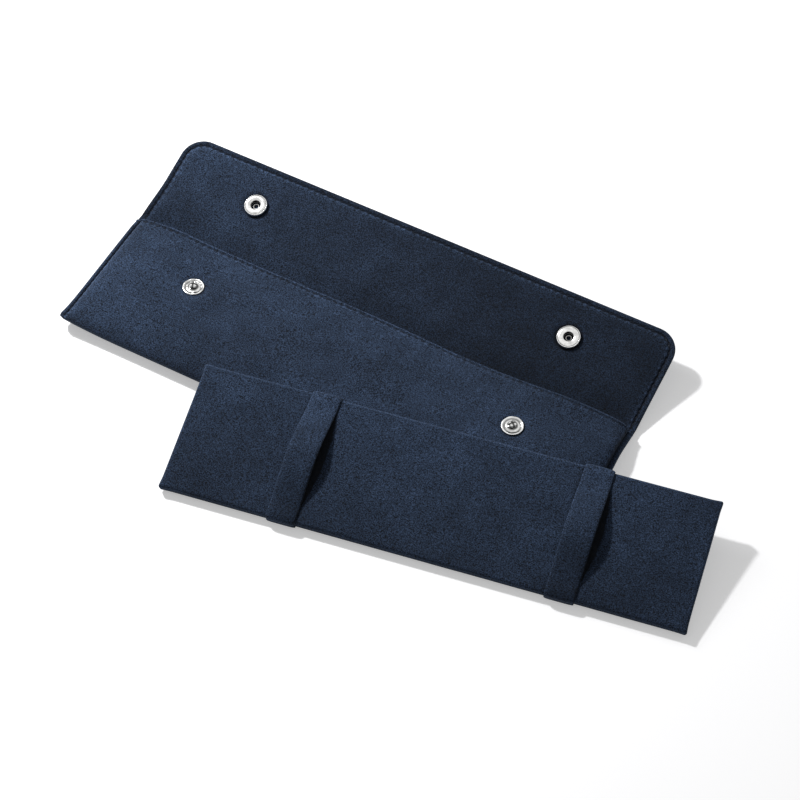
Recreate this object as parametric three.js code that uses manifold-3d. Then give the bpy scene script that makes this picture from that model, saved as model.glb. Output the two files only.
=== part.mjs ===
// Padded microsuede jewellery pouch with a snap flap, lying open with its display pad leaning on it.
// Millimetres, +Z up. X runs along the pouch and +Y from the bottom fold towards the flap.
// The origin is the middle of the flat back panel, on the surface that the pouch lies on.

import * as THREE from 'three';
import { mergeVertices } from 'three/addons/utils/BufferGeometryUtils.js';
import Module from 'manifold-3d';

const wasm = await Module();
wasm.setup();

// Cloth and card
const SUEDE = 0.5;
const PADDING = 0.4;
const LINING = 0.3;
const PLY_GAP = 0.12; // between plies that lie on each other
const SEAT_GAP = 0.3; // between pieces that rest on or turn past each other

// Pocket
const POUCH_LENGTH = 220; // sewn side to sewn side
const BODY_DEPTH = 59; // mouth edge to bottom fold
const BODY_CORNER = 5;
const BORDER = 2.6; // edge to stitch line, on the pocket's sides and round the flap
const SEAM_HEIGHT = 3.2; // thickness at the sewn sides
const MOUTH_HEIGHT = 8.6; // top of the open mouth's front edge
const CREST_HEIGHT = 10; // top of the front panel's swell
const CREST_INSET = 27; // mouth edge to the crest
const SIDE_SWELL = 26; // width over which the swell rises from each side
const HEM_WIDTH = 1.6;
const HEM_PROUD = 0.1;

// Flap
const FOLD_INSET = 1.8; // fold axis behind the mouth edge
const FLAP_LENGTH = 42.2; // fold axis to free edge
const FLAP_CORNER = 9.5;
const FLAP_BULGE = 0.6; // swell of the inner face inside the stitch line
const FLAP_BULGE_WIDTH = 12;
const FLAP_RISE = 16.2; // degrees above level as it lies open
const FLAP_CLOSED = 178; // degrees from level when snapped shut
const FLAP_FLOOR = 0.15; // outer face above the ground when the flap lies level
const FLAP_START = 0.2; // fold axis to the flap's near edge

// Back lining, which turns up under the fold axis
const LINING_RAMP = 5; // mouth edge to the start of its rise
const LINING_FADE = 5; // width over which the rise dies out towards each side
const CURL_FADE = 4; // width over which its curled edge dies out

// Snaps
const SNAP_INSET = 40.2; // from each side to the snap centres
const STUD_INSET = 22; // mouth edge to the stud centres
const SNAP_FIT = 0.3; // stud flange to socket face when shut
const DIMPLE_DEPTH = 0.7; // cloth drawn in round each snap
const DIMPLE_RADIUS = 6;
const DIMPLE_FADE = 4;
const STUD_RADIUS = 4.3;
const STUD_FLANGE = 0.6;
const STUD_POST = 1.9; // above the flange
const STUD_BALL_RADIUS = 1.6;
const EYELET_RADIUS = 3.6;
const EYELET_FLANGE = 0.4;
const BARREL_RADIUS = 1.3;
const SOCKET_RADIUS = 4.8;
const SOCKET_HEIGHT = 2.2;
const SOCKET_FLOOR = 0.35;
const SOCKET_BORE = 2.5;
const SPRING_WIRE = 0.25; // wire radius
const SPRING_REACH = 2.2; // snap centre to the wire's legs
const CAP_RADIUS = 5;
const CAP_HEIGHT = 0.9;

// Display pad
const PAD_LENGTH = 200;
const PAD_WIDTH = 52;
const PAD_CORNER = 2.5;
const PAD_TURN = 10.3; // degrees from the pouch's long axis
const PAD_X = -34; // front left corner, from the middle of the mouth edge
const PAD_Y = -105.2;
const PAD_BACKING = 0.4;
const PAD_BOARD = 1.2;
const PAD_FOAM = 1.2; // at its edges
const PAD_CROWN = 0.7;
const PAD_CROWN_STEPS = [5, 10, 16, 22]; // insets of the rows over which it rises
const PAD_EDGE_ROUND = 1;
const PAD_REST = 0.4; // underside above the swell of the pocket that it leans on

// Straps across the pad
const STRAP_WIDTH = 11;
const STRAP_THICK = 0.6;
const STRAP_INSET = 47; // pad end to strap centre
const STRAP_ARCH = 7.2; // rise over the middle of the pad
const STRAP_TAIL = 6; // glued under the pad

// Rows and columns that carry a surface's shape
const SNAP_GRID = [-8, -4, 0, 4, 8]; // from a snap's centre
const MOUTH_ROW = 8; // mouth edge to the first free row of the front panel
const FLAP_COLUMN = 90; // where the flap's swell starts to fall towards its sides

const NAVY = 0x2c3749;
const MATERIALS = {
  suede: { color: NAVY, roughness: 0.95, metalness: 0 },
  suedeDark: { color: 0x252e3f, roughness: 0.95, metalness: 0 },
  lining: { color: 0x1f2735, roughness: 0.8, metalness: 0 },
  foam: { color: 0xc9ccd0, roughness: 1, metalness: 0 },
  card: { color: 0x8d8a84, roughness: 0.9, metalness: 0 },
  chrome: { color: 0xd9dbde, roughness: 0.18, metalness: 1 },
  springSteel: { color: 0x8f9399, roughness: 0.35, metalness: 1 },
};

const HALF_LENGTH = POUCH_LENGTH / 2;
const STITCH_X = HALF_LENGTH - BORDER;
const SNAP_X = HALF_LENGTH - SNAP_INSET;
const FOLD_RADIUS = SEAM_HEIGHT / 2;
const COVER_DEPTHS = [0, SUEDE];
const PADDING_DEPTHS = [SUEDE + PLY_GAP, SUEDE + PLY_GAP + PADDING];
const LINING_DEPTHS = [PADDING_DEPTHS[1] + PLY_GAP, PADDING_DEPTHS[1] + PLY_GAP + LINING];
const PANEL_THICK = LINING_DEPTHS[1];
const FLAP_THICK = 2 * SUEDE + PADDING + 2 * PLY_GAP;
const RADIANS = Math.PI / 180;

// Numbers

function steps(low, high, count) {
  return Array.from({ length: count + 1 }, (_, i) => low + ((high - low) * i) / count);
}

// How far a rounded corner draws an edge in at a given x.
function cornerInset(x, half, radius) {
  const into = Math.abs(x) - (half - radius);
  return into > 0 ? radius - Math.sqrt(Math.max(0, radius * radius - into * into)) : 0;
}

function fade(value) {
  const t = Math.min(1, Math.max(0, value));
  return t * t * (3 - 2 * t);
}

// 1 inside the dimple round a snap, 0 away from it.
function dimple(x, y, snapY) {
  const reach = Math.hypot(Math.abs(x) - SNAP_X, y - snapY);
  return fade(1 - (reach - DIMPLE_RADIUS) / DIMPLE_FADE);
}

// Solids

function signedVolume(geometry) {
  const position = geometry.getAttribute('position');
  const index = geometry.getIndex();
  const [a, b, c] = [new THREE.Vector3(), new THREE.Vector3(), new THREE.Vector3()];
  let volume = 0;
  for (let i = 0; i < index.count; i += 3) {
    a.fromBufferAttribute(position, index.getX(i));
    b.fromBufferAttribute(position, index.getX(i + 1));
    c.fromBufferAttribute(position, index.getX(i + 2));
    volume += a.dot(b.cross(c)) / 6;
  }
  return volume;
}

// Shared vertices merged and faces turned outwards.
function closed(geometry) {
  const bare = geometry.clone();
  bare.deleteAttribute('normal');
  bare.deleteAttribute('uv');
  const merged = mergeVertices(bare, 1e-4);
  if (signedVolume(merged) < 0) {
    const index = merged.getIndex();
    for (let i = 0; i < index.count; i += 3) {
      const second = index.getX(i + 1);
      index.setX(i + 1, index.getX(i + 2));
      index.setX(i + 2, second);
    }
  }
  return merged;
}

function toManifold(geometry) {
  const solid = closed(geometry);
  return new wasm.Manifold(new wasm.Mesh({
    numProp: 3,
    vertProperties: new Float32Array(solid.getAttribute('position').array),
    triVerts: new Uint32Array(solid.getIndex().array),
  }));
}

function fromManifold(manifold) {
  const mesh = manifold.getMesh();
  const geometry = new THREE.BufferGeometry();
  geometry.setAttribute('position', new THREE.BufferAttribute(new Float32Array(mesh.vertProperties), 3));
  geometry.setIndex(new THREE.BufferAttribute(new Uint32Array(mesh.triVerts), 1));
  return geometry;
}

function subtract(geometry, ...tools) {
  const cut = tools.reduce((solid, tool) => solid.subtract(toManifold(tool)), toManifold(geometry));
  return fromManifold(cut);
}

function fromTriangles(points, triangles) {
  const geometry = new THREE.BufferGeometry();
  geometry.setAttribute('position', new THREE.Float32BufferAttribute(points.flat(), 3));
  geometry.setIndex(triangles.flat());
  return geometry;
}

// A closed body through rings of equal point count, with a fan over each end ring.
function loft(rings) {
  const size = rings[0].length;
  const points = rings.flat();
  const triangles = [];
  for (let k = 0; k + 1 < rings.length; k += 1) {
    for (let i = 0; i < size; i += 1) {
      const [a, b] = [k * size + i, k * size + ((i + 1) % size)];
      triangles.push([a, b, b + size], [a, b + size, a + size]);
    }
  }
  for (const [start, flip] of [[0, true], [(rings.length - 1) * size, false]]) {
    const middle = [0, 1, 2].map((axis) => {
      return points.slice(start, start + size).reduce((sum, point) => sum + point[axis], 0) / size;
    });
    points.push(middle);
    const centre = points.length - 1;
    for (let i = 0; i < size; i += 1) {
      const [a, b] = [start + i, start + ((i + 1) % size)];
      triangles.push(flip ? [b, a, centre] : [a, b, centre]);
    }
  }
  return fromTriangles(points, triangles);
}

// A ply between two grids of the same size: upper[i][j] and lower[i][j].
function ply(upper, lower) {
  const [columns, rows] = [upper.length, upper[0].length];
  const points = [...upper.flat(), ...lower.flat()];
  const top = (i, j) => i * rows + j;
  const under = (i, j) => columns * rows + top(i, j);
  const triangles = [];
  const quad = (a, b, c, d) => triangles.push([a, b, c], [a, c, d]);
  for (let i = 0; i + 1 < columns; i += 1) {
    for (let j = 0; j + 1 < rows; j += 1) {
      quad(top(i, j), top(i + 1, j), top(i + 1, j + 1), top(i, j + 1));
      quad(under(i, j), under(i, j + 1), under(i + 1, j + 1), under(i + 1, j));
    }
  }
  for (let i = 0; i + 1 < columns; i += 1) {
    quad(top(i + 1, 0), top(i, 0), under(i, 0), under(i + 1, 0));
    quad(top(i, rows - 1), top(i + 1, rows - 1), under(i + 1, rows - 1), under(i, rows - 1));
  }
  for (let j = 0; j + 1 < rows; j += 1) {
    quad(top(0, j), top(0, j + 1), under(0, j + 1), under(0, j));
    quad(top(columns - 1, j + 1), top(columns - 1, j), under(columns - 1, j), under(columns - 1, j + 1));
  }
  return fromTriangles(points, triangles);
}

function revolve(profile, segments = 18) {
  const points = profile.map(([radius, height]) => new THREE.Vector2(radius, height));
  return new THREE.LatheGeometry(points, segments).rotateX(Math.PI / 2);
}

// A flat outline in X and Y, raised from low to high.
function plate(shape, low, high) {
  const geometry = new THREE.ExtrudeGeometry(shape, {
    depth: high - low,
    bevelEnabled: false,
    curveSegments: 6,
  });
  return geometry.translate(0, 0, low);
}

function drill(x, y, radius) {
  const length = 4 * CREST_HEIGHT;
  return new THREE.CylinderGeometry(radius, radius, length, 16).rotateX(Math.PI / 2).translate(x, y, 0);
}

function drillPair(geometry, y, radius) {
  return subtract(geometry, drill(-SNAP_X, y, radius), drill(SNAP_X, y, radius));
}

function part(group, name, geometry, material) {
  const solid = closed(geometry);
  solid.computeVertexNormals();
  const mesh = new THREE.Mesh(solid, new THREE.MeshStandardMaterial(MATERIALS[material]));
  mesh.name = name;
  group.add(mesh);
  return mesh;
}

// Pocket

function bodyEnd(x) {
  return BODY_DEPTH - cornerInset(x, HALF_LENGTH, BODY_CORNER);
}

// Height of the front panel's face, a given depth under its outer surface. Inset is the
// distance from the mouth edge, and rise is 0 at a sewn side and 1 over the full swell.
function panelHeight(x, inset, rise, depth = 0) {
  const end = bodyEnd(x);
  const round = FOLD_RADIUS - depth;
  const pastFlat = Math.max(0, inset - (end - FOLD_RADIUS));
  const flat = FOLD_RADIUS + Math.sqrt(Math.max(0, round * round - pastFlat * pastFlat));
  let swell;
  if (inset < CREST_INSET) {
    const climb = Math.sin((Math.PI / 2) * (inset / CREST_INSET));
    swell = MOUTH_HEIGHT - depth + (CREST_HEIGHT - MOUTH_HEIGHT) * climb;
  } else {
    const reach = (inset - CREST_INSET) / (end - CREST_INSET - depth);
    swell = FOLD_RADIUS + (CREST_HEIGHT - FOLD_RADIUS - depth) * Math.sqrt(Math.max(0, 1 - reach * reach));
  }
  return flat + (swell - flat) * rise - DIMPLE_DEPTH * dimple(x, -inset, -STUD_INSET);
}

// X positions across the panel with the swell's rise at each, for one depth of ply.
function panelColumns(depth, hasBorder) {
  const sideStart = STITCH_X - SIDE_SWELL;
  const flat = [0, SNAP_X / 2].map((x) => ({ x, rise: 1 }));
  const nearSnap = SNAP_GRID.map((offset) => ({ x: SNAP_X + offset, rise: 1 }));
  const side = [...steps(0, 84, 5), ...(hasBorder ? [90] : [])].map((degrees) => ({
    x: sideStart + (SIDE_SWELL - depth) * Math.sin(degrees * RADIANS),
    rise: Math.cos(degrees * RADIANS),
  }));
  const corner = [45, 60, 75, 90].map((degrees) => HALF_LENGTH - BODY_CORNER * (1 - Math.sin(degrees * RADIANS)));
  const border = hasBorder ? corner.filter((x) => x > STITCH_X + 0.5).map((x) => ({ x, rise: 0 })) : [];
  const half = [...flat, ...nearSnap, ...side, ...border];
  return [...half.slice(1).reverse().map(({ x, rise }) => ({ x: -x, rise })), ...half];
}

function panelRows(x, depth, hasBorder) {
  const toStud = SNAP_GRID.filter((offset) => offset <= 0).map((offset) => STUD_INSET + offset);
  const near = [HEM_WIDTH + SEAT_GAP, MOUTH_ROW, ...toStud];
  const run = bodyEnd(x) - CREST_INSET - depth;
  const far = [...steps(0, 80, 5), ...(hasBorder ? [90] : [])].map((degrees) => {
    return CREST_INSET + run * Math.sin(degrees * RADIANS);
  });
  return [...near, ...far];
}

function panelGrid(depth, hasBorder) {
  return panelColumns(depth, hasBorder).map(({ x, rise }) => {
    const rows = panelRows(x, depth, hasBorder).map((inset) => [x, -inset, panelHeight(x, inset, rise, depth)]);
    if (!hasBorder) return rows;
    const radius = FOLD_RADIUS - depth;
    const under = steps(0, 90, 4).slice(1).map((degrees) => [
      x,
      -(bodyEnd(x) - FOLD_RADIUS + radius * Math.cos(degrees * RADIANS)),
      FOLD_RADIUS - radius * Math.sin(degrees * RADIANS),
    ]);
    return [...rows, ...under];
  });
}

// One ply of the front panel: the cover reaches the edges and turns under at the fold.
function panelPly([outer, inner], hasBorder) {
  const sheet = ply(panelGrid(outer, hasBorder), panelGrid(inner, hasBorder));
  return drillPair(sheet, -STUD_INSET, BARREL_RADIUS + SEAT_GAP);
}

// The folded strip that closes the front panel's edge at the mouth.
function mouthHem() {
  const columns = panelColumns(0, true);
  return loft(columns.map(({ x, rise }) => {
    const top = panelHeight(x, 0, rise) + HEM_PROUD;
    const height = PANEL_THICK + HEM_PROUD;
    const lip = steps(90, -90, 6).map((degrees) => [
      Math.sign(x) * Math.min(Math.abs(x), HALF_LENGTH - PLY_GAP),
      -HEM_WIDTH / 2 + (HEM_WIDTH / 2) * Math.cos(degrees * RADIANS),
      top - height / 2 + (height / 2) * Math.sin(degrees * RADIANS),
    ]);
    return [...lip, [lip[0][0], -HEM_WIDTH, top - height], [lip[0][0], -HEM_WIDTH, top]];
  }));
}

// The back panel's outline, drawn in from the sides and the fold, up to a given end past the mouth.
function backOutline(sideInset, foldInset, mouthEnd) {
  const half = HALF_LENGTH - sideInset;
  const low = -(BODY_DEPTH - foldInset);
  const radius = BODY_CORNER;
  const shape = new THREE.Shape();
  shape.moveTo(half, mouthEnd);
  shape.lineTo(-half, mouthEnd);
  shape.lineTo(-half, low + radius);
  shape.absarc(-half + radius, low + radius, radius, Math.PI, 1.5 * Math.PI, false);
  shape.absarc(half - radius, low + radius, radius, 1.5 * Math.PI, 2 * Math.PI, false);
  shape.closePath();
  return shape;
}

// The back lining lies flat in the pocket and turns up round the fold axis at the mouth.
function backLining(hinge) {
  const half = HALF_LENGTH - BORDER - SEAT_GAP;
  const low = -(BODY_DEPTH - FOLD_RADIUS - SEAT_GAP);
  const turnedHalf = STITCH_X - SIDE_SWELL / 2;
  const curlHalf = turnedHalf - 2 * CURL_FADE;
  const outerRadius = hinge.radius - SEAT_GAP;
  const turned = [curlHalf, curlHalf + CURL_FADE, turnedHalf, turnedHalf + LINING_FADE];
  const right = [0, ...turned, half - BODY_CORNER, half - BODY_CORNER / 3, half];
  const columns = [...right.slice(1).reverse().map((x) => -x), ...right];
  const grid = (radius, flatHeight) => columns.map((x) => {
    const end = low + cornerInset(x, half, BODY_CORNER);
    const lifted = hinge.z - radius;
    const lift = (lifted - flatHeight) * fade((turnedHalf + LINING_FADE - Math.abs(x)) / LINING_FADE);
    const reach = FLAP_RISE * fade((curlHalf + CURL_FADE - Math.abs(x)) / CURL_FADE);
    const flat = [end, -STUD_INSET, -LINING_RAMP].map((y) => [x, y, flatHeight]);
    const climb = steps(-LINING_RAMP, hinge.y, 4).slice(1).map((y) => {
      return [x, y, flatHeight + lift * fade((y + LINING_RAMP) / (hinge.y + LINING_RAMP))];
    });
    const curled = steps(0, reach, 3).slice(1).map((degrees, i) => [
      x,
      hinge.y + Math.max(radius * Math.sin(degrees * RADIANS), 0.01 * (i + 1)),
      flatHeight + lift + radius * (1 - Math.cos(degrees * RADIANS)),
    ]);
    return [...flat, ...climb, ...curled];
  });
  return ply(
    grid(outerRadius - LINING, LINING_DEPTHS[1]),
    grid(outerRadius, LINING_DEPTHS[0]),
  );
}

function seamAllowance(side) {
  const shape = new THREE.Shape();
  const [near, far] = [side * (STITCH_X + PLY_GAP), side * (HALF_LENGTH - PLY_GAP)];
  const low = -(BODY_DEPTH - BODY_CORNER - FOLD_RADIUS);
  shape.moveTo(near, -HEM_WIDTH - SEAT_GAP);
  shape.lineTo(near, low - BORDER / 2);
  shape.lineTo((near + far) / 2, low - BORDER / 4);
  shape.lineTo(far, low + BORDER / 4);
  shape.lineTo(far, -HEM_WIDTH - SEAT_GAP);
  shape.closePath();
  return plate(shape, SUEDE + PLY_GAP, SEAM_HEIGHT - SUEDE - PLY_GAP);
}

// Stud: a dished flange with a rolled rim and a hollow ball post.
function stud() {
  const bore = 0.85;
  const top = STUD_FLANGE + STUD_POST;
  const ballHeight = top - STUD_BALL_RADIUS * 0.72;
  const ball = steps(-35, 64, 5).map((degrees) => [
    STUD_BALL_RADIUS * Math.cos(degrees * RADIANS),
    ballHeight + STUD_BALL_RADIUS * 0.8 * Math.sin(degrees * RADIANS),
  ]);
  return revolve([
    [bore, 0],
    [STUD_RADIUS - 0.35, 0],
    [STUD_RADIUS, 0.2],
    [STUD_RADIUS, 0.42],
    [STUD_RADIUS - 0.3, STUD_FLANGE],
    [STUD_RADIUS - 0.75, 0.48],
    [STUD_RADIUS - 1.1, 0.28],
    [STUD_BALL_RADIUS + 0.35, 0.3],
    ...ball,
    [0, top],
    [0, top - 0.45],
    [bore, top - 0.7],
    [bore, 0],
  ]);
}

// Eyelet: the hidden half that grips the cloth from inside and enters the stud's hollow.
function eyelet() {
  const clothTop = PANEL_THICK + PLY_GAP;
  return revolve([
    [0, -EYELET_FLANGE],
    [EYELET_RADIUS - 0.2, -EYELET_FLANGE],
    [EYELET_RADIUS, -EYELET_FLANGE / 2],
    [EYELET_RADIUS - 0.2, 0],
    [BARREL_RADIUS, 0],
    [BARREL_RADIUS, clothTop - 0.1],
    [0.55, clothTop - 0.1],
    [0.55, clothTop + STUD_FLANGE + STUD_POST - 1.1],
    [0, clothTop + STUD_FLANGE + STUD_POST - 1.1],
  ], 12);
}

// Flap, drawn in its own frame: the fold axis is the origin, s runs to the free edge, n is up
// off the inner face when the flap lies open.

function flapEnd(x, inset = 0) {
  const radius = FLAP_CORNER - inset;
  return FLAP_LENGTH - inset - cornerInset(x, HALF_LENGTH - inset, radius);
}

function flapBulge(x, s, socketS) {
  const cornerHalf = HALF_LENGTH - FLAP_CORNER;
  const cornerS = FLAP_LENGTH - FLAP_CORNER;
  const [pastX, pastS] = [Math.abs(x) - cornerHalf, s - cornerS];
  const inCorner = pastX > 0 && pastS > 0;
  const fromEdge = inCorner
    ? FLAP_CORNER - Math.hypot(pastX, pastS)
    : Math.min(HALF_LENGTH - Math.abs(x), FLAP_LENGTH - s);
  const swell = fade((fromEdge - BORDER) / FLAP_BULGE_WIDTH) * fade(s / FLAP_BULGE_WIDTH);
  return FLAP_BULGE * swell * (1 - dimple(x, s, socketS));
}

function flapGrid(socketS, start, inset, height) {
  const half = HALF_LENGTH - inset;
  const arc = steps(0, 90, 4).map((degrees) => half - (FLAP_CORNER - inset) * (1 - Math.sin(degrees * RADIANS)));
  const right = [0, SNAP_X / 2, ...SNAP_GRID.map((offset) => SNAP_X + offset), FLAP_COLUMN, ...arc];
  const columns = [...right.slice(1).reverse().map((x) => -x), ...right];
  const edge = FLAP_LENGTH - inset;
  const nearSocket = SNAP_GRID.map((offset) => socketS + offset);
  const rows = [start, FLAP_BULGE_WIDTH / 2, ...nearSocket, edge - BORDER, edge];
  return columns.map((x) => rows.map((row) => {
    const share = (row - start) / (edge - start);
    const s = start + share * (flapEnd(x, inset) - start);
    return [x, s, height + flapBulge(x, s, socketS)];
  }));
}

function flapOutline(start, inset) {
  const half = HALF_LENGTH - inset;
  const end = FLAP_LENGTH - inset;
  const radius = FLAP_CORNER - inset;
  const shape = new THREE.Shape();
  shape.moveTo(-half, start);
  shape.lineTo(half, start);
  shape.lineTo(half, end - radius);
  shape.absarc(half - radius, end - radius, radius, 0, Math.PI / 2, false);
  shape.absarc(-half + radius, end - radius, radius, Math.PI / 2, Math.PI, false);
  shape.closePath();
  return shape;
}

// The turned-in edges between the flap's two faces, along three sides.
function flapAllowance(start, low, high) {
  const outer = PLY_GAP;
  const inner = BORDER - PLY_GAP;
  const ring = plate(flapOutline(start, outer), low, high);
  return subtract(ring, plate(flapOutline(start - 1, inner), low - 1, high + 1));
}

function socket() {
  const lipHeight = SOCKET_HEIGHT - 0.25;
  const groove = SOCKET_BORE + 0.8;
  return revolve([
    [BARREL_RADIUS + 2 * SEAT_GAP, 0],
    [SOCKET_RADIUS - 0.3, 0],
    [SOCKET_RADIUS, 0.35],
    [SOCKET_RADIUS, 1.1],
    [SOCKET_RADIUS - 0.3, 1.75],
    [SOCKET_RADIUS - 0.85, SOCKET_HEIGHT],
    [SOCKET_RADIUS - 1.3, lipHeight],
    [SOCKET_BORE + 0.35, lipHeight - 0.1],
    [SOCKET_BORE, lipHeight - 0.25],
    [groove, lipHeight - 0.45],
    [groove, SOCKET_FLOOR + 0.35],
    [SOCKET_BORE, SOCKET_FLOOR],
    [BARREL_RADIUS + 2 * SEAT_GAP, SOCKET_FLOOR],
    [BARREL_RADIUS + 2 * SEAT_GAP, 0],
  ]);
}

// Socket spring: one wire whose two legs flank the stud, joined by a bow in the socket's groove.
function socketSpring() {
  const bow = SOCKET_BORE + 0.4;
  const legEnd = Math.sqrt(bow * bow - SPRING_REACH * SPRING_REACH);
  const start = Math.atan2(legEnd, SPRING_REACH);
  const arc = steps(start, Math.PI - start, 6).map((angle) => [bow * Math.cos(angle), bow * Math.sin(angle)]);
  const legs = [-0.95, -0.3, 0.35].map((share) => share * legEnd);
  const route = [
    ...legs.map((y) => [SPRING_REACH, y]),
    ...arc,
    ...legs.reverse().map((y) => [-SPRING_REACH, y]),
  ];
  const path = new THREE.CatmullRomCurve3(route.map(([x, y]) => new THREE.Vector3(x, y, 0)));
  const section = new THREE.Shape(steps(0, 2 * Math.PI, 6).slice(1).map((angle) => {
    return new THREE.Vector2(SPRING_WIRE * Math.cos(angle), SPRING_WIRE * Math.sin(angle));
  }));
  return new THREE.ExtrudeGeometry(section, { steps: 22, extrudePath: path });
}

// Cap: a low dome on the flap's outer face, with the post that passes through the cloth.
function cap() {
  const postTop = FLAP_THICK + PLY_GAP + SOCKET_FLOOR;
  const dome = steps(0, 90, 4).map((degrees) => [
    (CAP_RADIUS - 0.15) * Math.sin(degrees * RADIANS),
    -0.25 - (CAP_HEIGHT - 0.25) * Math.cos(degrees * RADIANS),
  ]);
  return revolve([
    ...dome,
    [CAP_RADIUS, -0.15],
    [CAP_RADIUS - 0.3, 0],
    [BARREL_RADIUS, 0],
    [BARREL_RADIUS, postTop],
    [0.9, postTop],
    [0.7, postTop - 0.6],
    [0, postTop - 0.6],
  ]);
}

// Display pad, drawn in its own frame: X along it, Y across it, n = 0 on its underside.

function padRing(inset, height) {
  const corner = Math.max(PAD_CORNER - inset, 0.05);
  const [left, right] = [inset, PAD_LENGTH - inset];
  const [front, back] = [inset, PAD_WIDTH - inset];
  const centres = [
    [right - corner, back - corner, 0],
    [left + corner, back - corner, 90],
    [left + corner, front + corner, 180],
    [right - corner, front + corner, 270],
  ];
  const arcs = centres.map(([x, y, start]) => steps(start, start + 90, 3).map((degrees) => [
    x + corner * Math.cos(degrees * RADIANS),
    y + corner * Math.sin(degrees * RADIANS),
  ]));
  const points = arcs.flatMap((arc, i) => {
    const next = arcs[(i + 1) % 4][0];
    const last = arc[arc.length - 1];
    const count = i % 2 === 0 ? 5 : 3;
    const between = steps(0, 1, count).slice(1, -1).map((t) => [
      last[0] + (next[0] - last[0]) * t,
      last[1] + (next[1] - last[1]) * t,
    ]);
    return [...arc, ...between];
  });
  return points.map(([x, y]) => [x, y, height]);
}

// A crowned block with rounded upper edges, grown or shrunk by margin on its sides and top.
function padBlock(low, edge, margin) {
  const round = PAD_EDGE_ROUND;
  const rounding = steps(0, 90, 3).map((degrees) => [
    round * (1 - Math.cos(degrees * RADIANS)),
    edge - round * (1 - Math.sin(degrees * RADIANS)),
  ]);
  const crownWidth = PAD_CROWN_STEPS.at(-1);
  const crown = PAD_CROWN_STEPS.map((inset) => [
    inset,
    edge + PAD_CROWN * Math.sin((Math.PI / 2) * (inset / crownWidth)),
  ]);
  const rings = [[0, low], ...rounding, ...crown];
  return loft(rings.map(([inset, height]) => padRing(inset + margin, height)));
}

function padPlate(margin, low, high) {
  return loft([padRing(margin, low), padRing(margin, high)]);
}

// Strap: under the pad's edge, up its side, over the middle in an arch, and down the far side.
function strap(edgeTop) {
  const off = PLY_GAP + STRAP_THICK / 2;
  const turn = off + 0.3;
  const bend = (cx, cy, from, to, radius) => steps(from, to, 3).map((degrees) => [
    cx + radius * Math.cos(degrees * RADIANS),
    cy + radius * Math.sin(degrees * RADIANS),
  ]);
  const inner = turn - off;
  const shoulder = PAD_EDGE_ROUND + off;
  const half = [
    [STRAP_TAIL, -off],
    ...bend(inner, inner, 270, 180, turn),
    ...bend(PAD_EDGE_ROUND, edgeTop - PAD_EDGE_ROUND, 180, 120, shoulder),
    ...steps(0.06, 0.5, 9).map((share) => [
      PAD_WIDTH * share,
      edgeTop + off + STRAP_ARCH * Math.sin(Math.PI * share) ** 1.25,
    ]),
  ];
  const line = [...half, ...half.slice(0, -1).reverse().map(([y, n]) => [PAD_WIDTH - y, n])];
  const offset = (side) => line.map(([y, n], i) => {
    const before = line[Math.max(0, i - 1)];
    const after = line[Math.min(line.length - 1, i + 1)];
    const [dy, dn] = [after[0] - before[0], after[1] - before[1]];
    const length = Math.hypot(dy, dn);
    const shift = (side * STRAP_THICK) / 2 / length;
    return new THREE.Vector2(y - dn * shift, n + dy * shift);
  });
  const outline = new THREE.Shape([...offset(1), ...offset(-1).reverse()]);
  const geometry = new THREE.ExtrudeGeometry(outline, { depth: STRAP_WIDTH, bevelEnabled: false });
  // The outline's axes become Y and Z, and its depth runs along X.
  return geometry.applyMatrix4(new THREE.Matrix4().makeBasis(
    new THREE.Vector3(0, 1, 0),
    new THREE.Vector3(0, 0, 1),
    new THREE.Vector3(1, 0, 0),
  ));
}

// Assembly

// The fold axis lies midway between the flap's open and shut inner faces, so that the sockets
// meet the studs.
function foldAxis() {
  const open = (180 - FLAP_CLOSED) * RADIANS;
  const studReach = STUD_INSET + FOLD_INSET;
  const studBase = panelHeight(SNAP_X, STUD_INSET, 1) + PLY_GAP;
  const mate = studBase + STUD_FLANGE + SNAP_FIT + SOCKET_HEIGHT + PLY_GAP;
  const floor = FLAP_THICK + FLAP_FLOOR;
  const radius = (mate - floor - studReach * Math.tan(open)) / (1 + 1 / Math.cos(open));
  return {
    y: FOLD_INSET,
    z: radius + floor,
    radius,
    socketS: (studReach + radius * Math.sin(open)) / Math.cos(open),
  };
}

// The pad's lean: its underside just clears the swell of the pocket, with the straps' tails on
// the ground along its front edge.
function padLean(drop) {
  const turn = PAD_TURN * RADIANS;
  let lean = 0;
  for (const [x, y, z] of panelGrid(0, true).flat()) {
    const across = -(x - PAD_X) * Math.sin(turn) + (y - PAD_Y) * Math.cos(turn);
    if (across > 0 && across < PAD_WIDTH) {
      const reach = Math.hypot(across, z);
      lean = Math.max(lean, Math.atan2(z, across) - Math.asin((drop - PAD_REST) / reach));
    }
  }
  return lean;
}

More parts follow.
